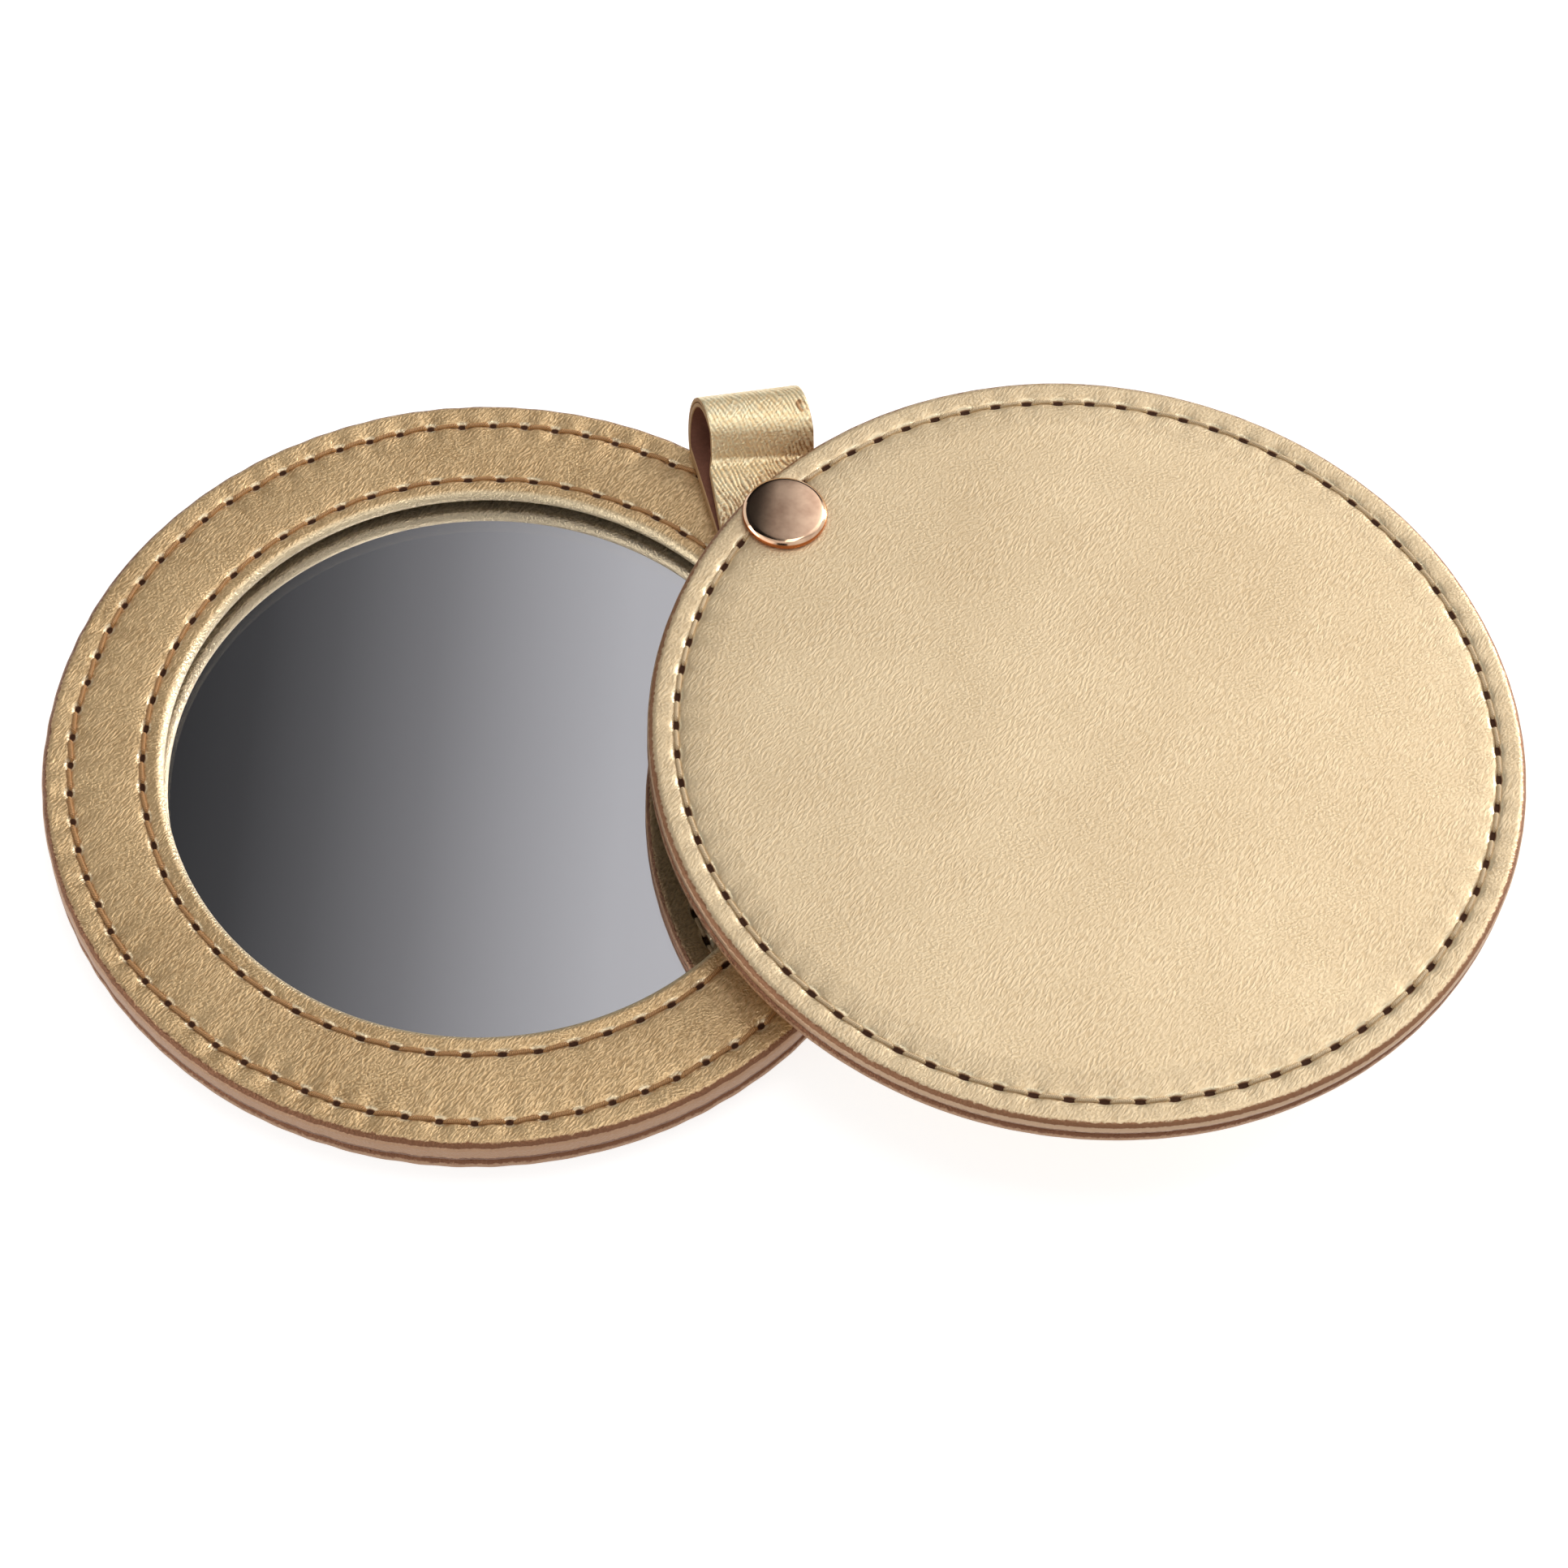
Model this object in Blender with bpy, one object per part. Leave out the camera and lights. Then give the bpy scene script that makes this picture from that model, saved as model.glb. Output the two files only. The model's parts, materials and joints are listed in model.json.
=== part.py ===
"""Folding pocket mirror: a mirror in a stitched leatherette ring, a cover that swings on one rivet,
and a strap folded into a loop whose legs are clamped between the two discs.

World frame: the base disc lies on the XY plane with its centre at the origin, +Z is up and the
viewer sits on the -Y side. Everything turns about the rivet, whose axis is parallel to Z.
"""
import math

import bmesh
import bpy
from mathutils import Matrix, Vector

mm = 0.001

# The two discs and the rivet that joins them
disc_radius = 38.0 * mm
rivet_azimuth = 43.0
cover_swing = 99.5
pivot_clearance = 0.2 * mm

# Leatherette skins and their turned edges
leather = 0.5 * mm
turn_in_margin = 1.1 * mm
face_bend_share = 0.6
seam_bend_share = 0.2
ring_face_bend_share = 0.25
ring_seam_bend_share = 0.06

# Cards and padding inside the skins
back_card = 0.6 * mm
ring_card = 0.5 * mm
spacer_card = 1.2 * mm
cover_card = 0.6 * mm
lining_card = 0.3 * mm
card_clearance = 0.2 * mm

# Mirror and its window
glass_to_rivet = 2.0 * mm
glass_overlap = 3.0 * mm
glass_thickness = 1.5 * mm
glass_bevel = 0.15 * mm
window_grip = 0.5 * mm

# Seams: a thread lying in a pressed groove
thread_radius = 0.15 * mm
thread_clearance = 0.02 * mm
groove_depth = 0.34 * mm
groove_floor = 0.4 * mm
groove_mouth = 1.0 * mm
stitch_pitch = 2.9 * mm
rim_seam_margin = 2.6 * mm
window_seam_margin = 1.8 * mm
seam_end_margin = 1.0 * mm

# Rivet
cap_radius = 3.8 * mm
cap_margin = 0.2 * mm
cap_height = 1.2 * mm
cap_crown = 0.2 * mm
cap_edge = 0.45 * mm
cap_edge_turn = 70.0
crown_knee_share = 0.25
cap_lip = 0.5 * mm
tube_radius = 1.5 * mm
tube_wall = 0.35 * mm
flange_thickness = 0.3 * mm
post_clearance = 0.05 * mm
rivet_clearance = 0.1 * mm
head_radius = 2.9 * mm
head_thickness = 0.5 * mm
head_edge = 0.15 * mm
head_recess = 0.05 * mm
pressed_leather = 0.25 * mm

# Strap loop
strap_width = 9.4 * mm
strap_offset = 0.75 * mm
face_layer = 0.45 * mm
backing_layer = 0.42 * mm
glue_line = 0.03 * mm
strap_edge = 0.12 * mm
strap_tail = 5.0 * mm
strap_azimuth = 103.5
leg_skew = 4.0
fold_radius = 2.4 * mm
fold_reach = 12.3 * mm
lift_radius = 1.2 * mm
lift_angle = 60.0

# Facet counts and the overrun shared by all cuts
turn_steps = 44
rivet_steps = 24
roll_steps = 3
seam_steps = 2
fold_steps = 13
lift_steps = 4
cut_overrun = 1.0 * mm
weld_distance = 0.0001 * mm
smooth_angle = 32.0

# Heights of the layers, worked out from the floor up
back_depth = back_card + 2 * leather
ring_depth = ring_card + spacer_card + 2 * leather
base_top = back_depth + ring_depth
strap_thickness = face_layer + glue_line + backing_layer
lower_leg = base_top + pivot_clearance + strap_thickness / 2
upper_leg = lower_leg + strap_thickness + pivot_clearance
cover_bottom = upper_leg + strap_thickness / 2 + pivot_clearance
lining_depth = lining_card + 2 * leather
cover_depth = cover_card + 2 * leather
cover_seam = cover_bottom + lining_depth
cover_top = cover_seam + cover_depth

# Radii of the rings, worked out from the rim inward: the cap almost reaches the rim, the glass
# stays clear of the rivet, and the window grips the glass
pivot_distance = disc_radius - cap_radius - cap_margin
hole_radius = tube_radius + rivet_clearance
glass_radius = pivot_distance - tube_radius - glass_to_rivet
window_radius = glass_radius - glass_overlap
turn_in_radius = glass_radius + turn_in_margin
rim_seam_radius = disc_radius - rim_seam_margin
window_seam_radius = window_radius + window_seam_margin
seam_start = hole_radius + seam_end_margin


def clear_scene():
    for obj in list(bpy.data.objects):
        bpy.data.objects.remove(obj, do_unlink=True)


def make_material(name, colour, roughness, metallic=0.0):
    material = bpy.data.materials.new(name)
    material.use_nodes = True
    shader = material.node_tree.nodes["Principled BSDF"]
    shader.inputs["Base Color"].default_value = (*colour, 1.0)
    shader.inputs["Roughness"].default_value = roughness
    shader.inputs["Metallic"].default_value = metallic
    material.diffuse_color = (*colour, 1.0)
    return material


def arc(r, z, radius, start, end, steps):
    """Points of an arc in the section plane, from start to end in degrees, both ends kept."""
    points = []
    for i in range(steps + 1):
        angle = math.radians(start + (end - start) * i / steps)
        points.append((r + radius * math.cos(angle), z + radius * math.sin(angle)))
    return points


def link_mesh(name, bm, material):
    """Close a bmesh into a named object with outward normals and smooth curved faces."""
    bmesh.ops.remove_doubles(bm, verts=bm.verts, dist=weld_distance)
    bmesh.ops.dissolve_degenerate(bm, edges=bm.edges, dist=weld_distance)
    bmesh.ops.recalc_face_normals(bm, faces=bm.faces)
    mesh = bpy.data.meshes.new(name)
    bm.to_mesh(mesh)
    bm.free()
    mesh.shade_smooth()
    mesh.set_sharp_from_angle(angle=math.radians(smooth_angle))
    mesh.materials.append(material)
    obj = bpy.data.objects.new(name, mesh)
    bpy.context.collection.objects.link(obj)
    return obj


def revolve(name, section, material, steps=turn_steps):
    """Turn a section of (radius, height) points about Z; one that ends on the axis closes there."""
    bm = bmesh.new()
    verts = [bm.verts.new((r, 0, z)) for r, z in section]
    edges = [bm.edges.new(pair) for pair in zip(verts, verts[1:])]
    if section[0][0] > 0:
        edges.append(bm.edges.new((verts[-1], verts[0])))
    bmesh.ops.spin(bm, geom=verts + edges, axis=(0, 0, 1), cent=(0, 0, 0), angle=math.tau,
                   steps=steps, use_merge=True)
    return link_mesh(name, bm, material)


def cylinder(radius, z_low, z_high, steps=rivet_steps):
    """A cutter or a boss for the booleans, on the object's own rivet axis."""
    bm = bmesh.new()
    bmesh.ops.create_cone(bm, cap_ends=True, segments=steps, radius1=radius, radius2=radius,
                          depth=z_high - z_low)
    bmesh.ops.translate(bm, verts=bm.verts, vec=(0, 0, (z_low + z_high) / 2))
    mesh = bpy.data.meshes.new("rivet_tool")
    bm.to_mesh(mesh)
    bm.free()
    obj = bpy.data.objects.new("rivet_tool", mesh)
    bpy.context.collection.objects.link(obj)
    obj.hide_render = True
    obj.display_type = "WIRE"
    return obj


def boolean(obj, tool, operation):
    """Apply one exact boolean and drop its tool."""
    modifier = obj.modifiers.new("rivet_" + operation.lower(), "BOOLEAN")
    modifier.operation = operation
    modifier.object = tool
    modifier.solver = "EXACT"
    bpy.context.view_layer.update()
    depsgraph = bpy.context.evaluated_depsgraph_get()
    mesh = bpy.data.meshes.new_from_object(obj.evaluated_get(depsgraph))
    obj.modifiers.clear()
    old = obj.data
    obj.data = mesh
    mesh.name = obj.name
    bpy.data.meshes.remove(old)
    bpy.data.objects.remove(tool, do_unlink=True)
    mesh.shade_smooth()
    mesh.set_sharp_from_angle(angle=math.radians(smooth_angle))


def pierce(obj, z_low, z_high, radius=hole_radius):
    """Punch the rivet's hole through a piece whose origin lies on the rivet's axis."""
    boolean(obj, cylinder(radius, z_low - cut_overrun, z_high + cut_overrun), "DIFFERENCE")


def shift_to_pivot(obj):
    """Move a disc's mesh so that the rivet's axis, and not the disc's centre, is its origin."""
    obj.data.transform(Matrix.Translation((-pivot_distance, 0, 0)))
    return obj


def groove(radius, depth):
    """Section of a pressed groove in a face at depth 0, crossed outward."""
    return [(radius - groove_mouth / 2, 0), (radius - groove_floor / 2, depth),
            (radius + groove_floor / 2, depth), (radius + groove_mouth / 2, 0)]


def rim_section(depth, face_bend, seam_bend):
    """Outer rim of a turned skin from the face round to the turn-in's inner wall, as (r, depth)."""
    face_roll = leather + face_bend
    seam_roll = leather + seam_bend
    outside = arc(disc_radius - face_roll, face_roll, face_roll, -90, 0, roll_steps)
    outside += arc(disc_radius - seam_roll, depth - seam_roll, seam_roll, 0, 90, seam_steps)
    turn_in = [(turn_in_radius, depth), (turn_in_radius, depth - leather)]
    inside = [(disc_radius - leather, depth - leather)]
    inside += arc(disc_radius - face_roll, face_roll, face_bend, 0, -90, 1)
    return outside + turn_in + inside


def turned_disc(name, depth, card, place, material):
    """A whole leatherette disc whose edge is turned in over its card."""
    face_bend = card * face_bend_share
    seam_bend = card * seam_bend_share
    section = [(0, 0)] + groove(rim_seam_radius, groove_depth)
    section += rim_section(depth, face_bend, seam_bend) + [(0, leather)]
    return shift_to_pivot(revolve(name, [(r, place(d)) for r, d in section], material))


def card_radius(card):
    """A card ends where its skin starts to roll."""
    return disc_radius - leather - card * face_bend_share


def card_disc(name, radius, z_low, z_high, material):
    section = [(0, z_low), (radius, z_low), (radius, z_high), (0, z_high)]
    return shift_to_pivot(revolve(name, section, material))


def card_ring(name, inner, outer, z_low, z_high, material):
    section = [(inner, z_low), (outer, z_low), (outer, z_high), (inner, z_high)]
    return shift_to_pivot(revolve(name, section, material))


def stitching(name, radius, surface, facing, material, rivet_gap):
    """One unbroken thread, pulled tight from needle hole to needle hole in its groove.

    Facing is +1 on a top and -1 on an underside. The ends hide under the rivet's cap, or meet
    where the seam crosses no rivet.
    """
    gap = 2 * math.asin(seam_start / (2 * radius)) if rivet_gap else 0
    stitches = round((math.tau - 2 * gap) * radius / stitch_pitch)
    height = surface - facing * (groove_depth - thread_radius - thread_clearance)
    curve = bpy.data.curves.new(name, "CURVE")
    curve.dimensions = "3D"
    curve.bevel_depth = thread_radius
    curve.bevel_resolution = 0
    curve.use_fill_caps = rivet_gap
    count = stitches + 1 if rivet_gap else stitches
    spline = curve.splines.new("POLY")
    spline.points.add(count - 1)
    spline.use_cyclic_u = not rivet_gap
    for i in range(count):
        angle = gap + (math.tau - 2 * gap) * i / stitches
        point = Vector((radius * math.cos(angle) - pivot_distance, radius * math.sin(angle), height))
        spline.points[i].co = (*point, 1)
    source = bpy.data.objects.new(name, curve)
    bpy.context.collection.objects.link(source)
    bpy.context.view_layer.update()
    mesh = bpy.data.meshes.new_from_object(source.evaluated_get(bpy.context.evaluated_depsgraph_get()))
    bm = bmesh.new()
    bm.from_mesh(mesh)
    bpy.data.objects.remove(source, do_unlink=True)
    bpy.data.curves.remove(curve)
    bpy.data.meshes.remove(mesh)
    return link_mesh(name, bm, material)


def ring_panel_section():
    """Front ring skin: rim turned in over the spacer, window edge turned in under the ring card."""
    stack = ring_card + spacer_card
    rim = rim_section(ring_depth, stack * ring_face_bend_share, stack * ring_seam_bend_share)
    flange = 2 * leather + ring_card
    roll = flange / 2
    bend = roll - leather
    inner = arc(window_radius + roll, roll, roll, 180, 270, roll_steps)
    section = inner + groove(window_seam_radius, groove_depth) + groove(rim_seam_radius, groove_depth)
    section += rim
    section += arc(window_radius + roll, roll, bend, 270, 90, 2)
    section += [(window_flange_radius, flange - leather), (window_flange_radius, flange)]
    section += arc(window_radius + roll, roll, roll, 90, 180, roll_steps)[:-1]
    return section


def strap_path():
    """Mid-line of the strap as (reach, height, heading) from the lower tail round to the upper one."""
    path = [(-strap_tail, lower_leg, 0)]
    path += [(0, lower_leg, 0)]
    fold_height = lower_leg + fold_radius
    turned = 180 + lift_angle
    for i in range(fold_steps + 1):
        heading = turned * i / fold_steps
        angle = math.radians(heading)
        path.append((fold_reach + fold_radius * math.sin(angle),
                     fold_height - fold_radius * math.cos(angle), heading))
    lift = math.radians(lift_angle)
    end_reach, end_height, _ = path[-1]
    drop = end_height - upper_leg - lift_radius * (1 - math.cos(lift))
    run = drop / math.tan(lift)
    flat_reach = end_reach - run - lift_radius * math.sin(lift)
    for i in range(lift_steps + 1):
        angle = lift * (1 - i / lift_steps)
        path.append((flat_reach + lift_radius * math.sin(angle),
                     upper_leg + lift_radius * (1 - math.cos(angle)), 180 + math.degrees(angle)))
    path += [(0, upper_leg, 180), (-strap_tail, upper_leg, 180)]
    return path


def strap_strip(name, inner_offset, outer_offset, material):
    """Sweep a flat strip along the strap's mid-line, between two offsets from it.

    The two legs lie a few degrees apart, so the section turns slowly about the rivet's axis. The
    rivet's hole sits a little off the middle of the strap.
    """
    half = strap_width / 2
    trim = strap_edge
    outline = [(half, inner_offset + trim), (half, outer_offset - trim), (half - trim, outer_offset),
               (trim - half, outer_offset), (-half, outer_offset - trim), (-half, inner_offset + trim),
               (trim - half, inner_offset), (half - trim, inner_offset)]
    bm = bmesh.new()
    rings = []
    for reach, height, heading in strap_path():
        skew = math.radians(leg_skew * (1 - 2 * heading / (180 + lift_angle)))
        skew = max(skew, -math.radians(leg_skew))
        tilt = math.radians(heading)
        ring = []
        for side, out in outline:
            across = side + strap_offset
            s = reach + out * math.sin(tilt)
            z = height - out * math.cos(tilt)
            x = s * math.cos(skew) - across * math.sin(skew)
            y = s * math.sin(skew) + across * math.cos(skew)
            ring.append(bm.verts.new((x, y, z)))
        rings.append(ring)
    for ring, following in zip(rings, rings[1:]):
        for i in range(len(outline)):
            j = (i + 1) % len(outline)
            bm.faces.new((ring[i], ring[j], following[j], following[i]))
    bm.faces.new(rings[0])
    bm.faces.new(rings[-1])
    strip = link_mesh(name, bm, material)
    pierce(strip, lower_leg - strap_thickness, upper_leg + strap_thickness)
    return strip


clear_scene()

champagne = make_material("champagne_leatherette", (0.62, 0.47, 0.27), 0.42, 0.35)
bronze = make_material("bronze_leatherette", (0.46, 0.33, 0.17), 0.45, 0.35)
card = make_material("grey_card", (0.42, 0.40, 0.36), 0.9)
foam = make_material("white_foam", (0.82, 0.82, 0.80), 0.95)
silvered = make_material("silvered_glass", (0.72, 0.73, 0.75), 0.03, 1.0)
thread = make_material("tan_thread", (0.50, 0.30, 0.13), 0.7)
copper = make_material("rose_metal", (0.63, 0.42, 0.31), 0.22, 1.0)
steel = make_material("plated_steel", (0.60, 0.55, 0.50), 0.3, 1.0)
lining = make_material("brown_backing", (0.16, 0.06, 0.03), 0.85)

# Base, built round the rivet's axis with the disc's centre behind it on local -X
window_flange_radius = glass_radius + window_grip
spacer_inner = window_flange_radius + card_clearance
ring_card_bottom = base_top - leather - ring_card
glass_top = ring_card_bottom - leather
glass_bottom = glass_top - glass_thickness
back_card_top = leather + back_card
ring_card_radius = disc_radius - leather - (ring_card + spacer_card) * ring_face_bend_share
ring_card_inner = window_radius + ring_card / 2 + leather

head_bottom = head_recess
head_top = head_bottom + head_thickness
seat_top = head_top + pressed_leather
head_pocket = head_radius + rivet_clearance

back_panel = turned_disc("back_panel", back_depth, back_card, lambda depth: depth, bronze)
boolean(back_panel, cylinder(head_pocket + pressed_leather, leather / 2, seat_top), "UNION")
boolean(back_panel, cylinder(head_pocket, -cut_overrun, head_top), "DIFFERENCE")
pierce(back_panel, 0, back_depth)

back_board = card_disc("back_board", card_radius(back_card), leather, back_card_top, card)
boolean(back_board, cylinder(head_pocket + pressed_leather + card_clearance, 0, seat_top), "DIFFERENCE")
pierce(back_board, leather, back_card_top)

glass_pad = card_disc("glass_pad", glass_radius - card_clearance, back_card_top, glass_bottom, foam)

glass_section = [(0, glass_bottom), (glass_radius - glass_bevel, glass_bottom),
                 (glass_radius, glass_bottom + glass_bevel), (glass_radius, glass_top - glass_bevel),
                 (glass_radius - glass_bevel, glass_top), (0, glass_top)]
mirror_glass = shift_to_pivot(revolve("mirror_glass", glass_section, silvered))

spacer_ring = card_ring("spacer_ring", spacer_inner, ring_card_radius, back_depth + leather,
                        ring_card_bottom, card)
pierce(spacer_ring, back_depth, ring_card_bottom)

ring_board = card_ring("ring_board", ring_card_inner, ring_card_radius, ring_card_bottom,
                       base_top - leather, card)
pierce(ring_board, ring_card_bottom, base_top)

ring_panel = revolve("ring_panel", [(r, base_top - d) for r, d in ring_panel_section()], bronze)
shift_to_pivot(ring_panel)
pierce(ring_panel, back_depth, base_top)

rim_needle_thread = stitching("rim_needle_thread", rim_seam_radius, base_top, 1, thread, True)
rim_bobbin_thread = stitching("rim_bobbin_thread", rim_seam_radius, 0, -1, thread, True)
window_needle_thread = stitching("window_needle_thread", window_seam_radius, base_top, 1, thread,
                                 False)

# Rivet: a post on a flat head, a flanged tube over the post, and a domed cap over the flange
flange_radius = cap_radius - cap_lip
post_radius = tube_radius - tube_wall - post_clearance
cap_base = cover_top
flange_top = cap_base + flange_thickness
post_section = [(0, head_bottom), (head_radius - head_edge, head_bottom),
                (head_radius, head_bottom + head_edge), (head_radius, head_top),
                (post_radius, head_top), (post_radius, cap_base - head_edge),
                (post_radius - head_edge, cap_base), (0, cap_base)]
rivet_post = revolve("rivet_post", post_section, steel, rivet_steps)

bore_radius = tube_radius - tube_wall
socket_section = [(bore_radius, head_top), (tube_radius, head_top), (tube_radius, cap_base),
                  (flange_radius, cap_base), (flange_radius, flange_top), (bore_radius, flange_top)]
rivet_socket = revolve("rivet_socket", socket_section, steel, rivet_steps)

dome_edge = cap_base + cap_height - cap_crown - cap_edge
cap_section = [(0, flange_top), (flange_radius + post_clearance, flange_top),
               (flange_radius + post_clearance, cap_base), (cap_radius, cap_base)]
cap_section += arc(cap_radius - cap_edge, dome_edge, cap_edge, 0, cap_edge_turn, roll_steps)
cap_section += [(cap_radius / 2, cap_base + cap_height - cap_crown * crown_knee_share),
                (0, cap_base + cap_height)]
rivet_cap = revolve("rivet_cap", cap_section, copper, rivet_steps)

base = [back_panel, back_board, glass_pad, mirror_glass, spacer_ring, ring_board, ring_panel,
        rim_needle_thread, rim_bobbin_thread, window_needle_thread, rivet_post, rivet_socket,
        rivet_cap]

# Cover, built round the same axis
cover_panel = turned_disc("cover_panel", cover_depth, cover_card, lambda depth: cover_top - depth,
                          champagne)
pierce(cover_panel, cover_seam, cover_top)

cover_board = card_disc("cover_board", card_radius(cover_card), cover_top - leather - cover_card,
                        cover_top - leather, card)
pierce(cover_board, cover_seam, cover_top)

cover_infill = card_disc("cover_infill", turn_in_radius - card_clearance, cover_seam - leather,
                         cover_seam + leather, foam)

lining_board = card_disc("lining_board", card_radius(lining_card), cover_bottom + leather,
                         cover_bottom + leather + lining_card, card)
pierce(lining_board, cover_bottom, cover_seam)

lining_panel = turned_disc("lining_panel", lining_depth, lining_card,
                           lambda depth: cover_bottom + depth, bronze)
pierce(lining_panel, cover_bottom, cover_seam)

cover_needle_thread = stitching("cover_needle_thread", rim_seam_radius, cover_top, 1, thread, True)
cover_bobbin_thread = stitching("cover_bobbin_thread", rim_seam_radius, cover_bottom, -1, thread,
                                True)
cover = [cover_panel, cover_board, cover_infill, lining_board, lining_panel, cover_needle_thread,
         cover_bobbin_thread]

# Strap: leatherette outside the loop, brown backing inside it
strap_face = strap_strip("strap_face", strap_thickness / 2 - face_layer, strap_thickness / 2,
                         champagne)
strap_backing = strap_strip("strap_backing", -strap_thickness / 2,
                            backing_layer - strap_thickness / 2, lining)
strap = [strap_face, strap_backing]

# Places: each group turns as one about the rivet's axis
rivet_angle = math.radians(rivet_azimuth)
pivot = Vector((pivot_distance * math.cos(rivet_angle), pivot_distance * math.sin(rivet_angle), 0))
groups = (("base_frame", base, rivet_azimuth), ("cover_pivot", cover, rivet_azimuth + cover_swing),
          ("strap_pivot", strap, strap_azimuth))
for name, pieces, azimuth in groups:
    holder = bpy.data.objects.new(name, None)
    bpy.context.collection.objects.link(holder)
    holder.location = pivot
    holder.rotation_euler = (0, 0, math.radians(azimuth))
    for piece in pieces:
        piece.parent = holder
bpy.context.view_layer.update()

triangles = sum(len(p.vertices) - 2 for obj in bpy.data.objects if obj.type == "MESH"
                for p in obj.data.polygons)
print("pieces", len(base + cover + strap), "triangles", triangles)
print("base top", base_top, "cover top", cover_top, "pivot", tuple(pivot))
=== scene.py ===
# %% [markdown]
# # A folding pocket mirror in metallic leatherette
#
# The real object is two stitched leatherette discs on one rivet. The lower disc is a ring round a
# recessed glass, the upper one is a plain cover, and a short strap is folded into a loop between
# them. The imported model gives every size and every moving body. This file dresses it: it builds
# fine skins, seams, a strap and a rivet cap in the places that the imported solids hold.

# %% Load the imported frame
import json
import math

import bpy
import numpy as np
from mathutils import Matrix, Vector, noise

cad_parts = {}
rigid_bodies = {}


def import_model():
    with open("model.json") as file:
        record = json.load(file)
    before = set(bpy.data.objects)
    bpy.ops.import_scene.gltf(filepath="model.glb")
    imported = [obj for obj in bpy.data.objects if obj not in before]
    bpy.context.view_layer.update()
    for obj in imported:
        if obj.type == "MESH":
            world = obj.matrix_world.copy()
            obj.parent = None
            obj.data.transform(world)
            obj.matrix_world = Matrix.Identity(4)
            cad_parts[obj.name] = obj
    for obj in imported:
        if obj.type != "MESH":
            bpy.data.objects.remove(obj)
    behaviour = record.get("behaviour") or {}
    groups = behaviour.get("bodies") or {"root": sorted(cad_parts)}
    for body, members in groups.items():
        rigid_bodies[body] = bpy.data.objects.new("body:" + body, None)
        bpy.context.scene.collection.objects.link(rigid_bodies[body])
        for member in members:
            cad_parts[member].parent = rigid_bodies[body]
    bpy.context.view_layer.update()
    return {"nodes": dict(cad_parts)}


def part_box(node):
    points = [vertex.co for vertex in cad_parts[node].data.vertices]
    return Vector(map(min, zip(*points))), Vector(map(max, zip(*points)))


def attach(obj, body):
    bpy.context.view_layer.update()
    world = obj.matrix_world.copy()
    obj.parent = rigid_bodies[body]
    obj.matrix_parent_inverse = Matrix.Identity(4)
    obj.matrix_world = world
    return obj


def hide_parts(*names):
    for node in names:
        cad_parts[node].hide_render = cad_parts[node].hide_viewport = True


for leftover in list(bpy.data.objects):
    bpy.data.objects.remove(leftover, do_unlink=True)
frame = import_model()
nodes = frame["nodes"]
scene = bpy.context.scene
mm = 0.001

# %% [markdown]
# ## Camera
#
# The photograph looks down at about 58 degrees from the front, through a short telephoto lens. Its
# place was worked out from the outlines of both discs. They are circles of known size, so the
# ellipses in the picture fix the lens, the tilt and the distance together.

# %% Camera
camera_data = bpy.data.cameras.new("photo_camera")
camera_data.lens = 80.18
camera_data.sensor_width = 36.0
camera_data.clip_start = 0.01
camera = bpy.data.objects.new("photo_camera", camera_data)
scene.collection.objects.link(camera)
camera.location = (0.02041, -0.15974, 0.26116)
camera.rotation_euler = (0.55052, -0.04645, 0.03994)
scene.camera = camera
scene.view_settings.view_transform = "Standard"
print("camera distance", round(camera.location.length, 3))

# %% [markdown]
# ## Studio
#
# The highlights tell where the light is: grooves and rolls that face the back right are bright,
# and what faces the viewer is brown. So the main lamp stands low at the back right, where it rakes
# over the grain, and so near that its light falls off towards the left. A softer one stands above
# it, one hangs overhead, and a weak one at the front left keeps the near sides from going black.
# The background is white by Light Path, so no light is added to the object for it.


# %% Node helpers for all shader trees
def feed(socket, value):
    """Give an input a value, or link it to another node's output."""
    if isinstance(value, bpy.types.NodeSocket):
        socket.id_data.links.new(value, socket)
    elif socket.type == "RGBA":
        socket.default_value = (*value, 1)
    else:
        socket.default_value = value


def set_inputs(node, **values):
    """Feed inputs by name, with spaces written as underscores."""
    for key, value in values.items():
        feed(node.inputs[key.replace("_", " ")], value)
    return node


def add_node(tree, kind, **settings):
    """Make a shader node, right of those before it, and set its plain properties."""
    node = tree.nodes.new("ShaderNode" + kind)
    node.location = (200 * len(tree.nodes), 0)
    for key, value in settings.items():
        setattr(node, key, value)
    return node


def math_node(tree, operation, a, b):
    """Calculate with two numbers or outputs."""
    node = add_node(tree, "Math", operation=operation)
    feed(node.inputs[0], a)
    feed(node.inputs[1], b)
    return node.outputs[0]


def ranged(tree, value, low, high, to_low=0.0, to_high=1.0):
    """Stretch one range of a value onto another, and keep within it."""
    node = add_node(tree, "MapRange")
    set_inputs(node, Value=value, From_Min=low, From_Max=high, To_Min=to_low, To_Max=to_high)
    return node.outputs[0]


def mixed(tree, factor, a, b):
    """Fade from one colour to another; each is a colour or an output."""
    node = add_node(tree, "Mix", data_type="RGBA")
    return set_inputs(node, Factor=factor, A=a, B=b).outputs["Result"]


def noise_node(tree, coords, scale, detail, roughness=0.5, distortion=0.0):
    """Noise from 0 to 1 at a place."""
    node = add_node(tree, "TexNoise")
    return set_inputs(node, Vector=coords, Scale=scale, Detail=detail, Roughness=roughness,
                      Distortion=distortion).outputs["Fac"]


def bumped(tree, height, strength, distance):
    """A surface direction that follows a height."""
    node = add_node(tree, "Bump")
    return set_inputs(node, Height=height, Strength=strength, Distance=distance).outputs[0]


def object_place(tree):
    """The place on the piece, in metres."""
    return add_node(tree, "TexCoord").outputs["Object"]


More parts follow.
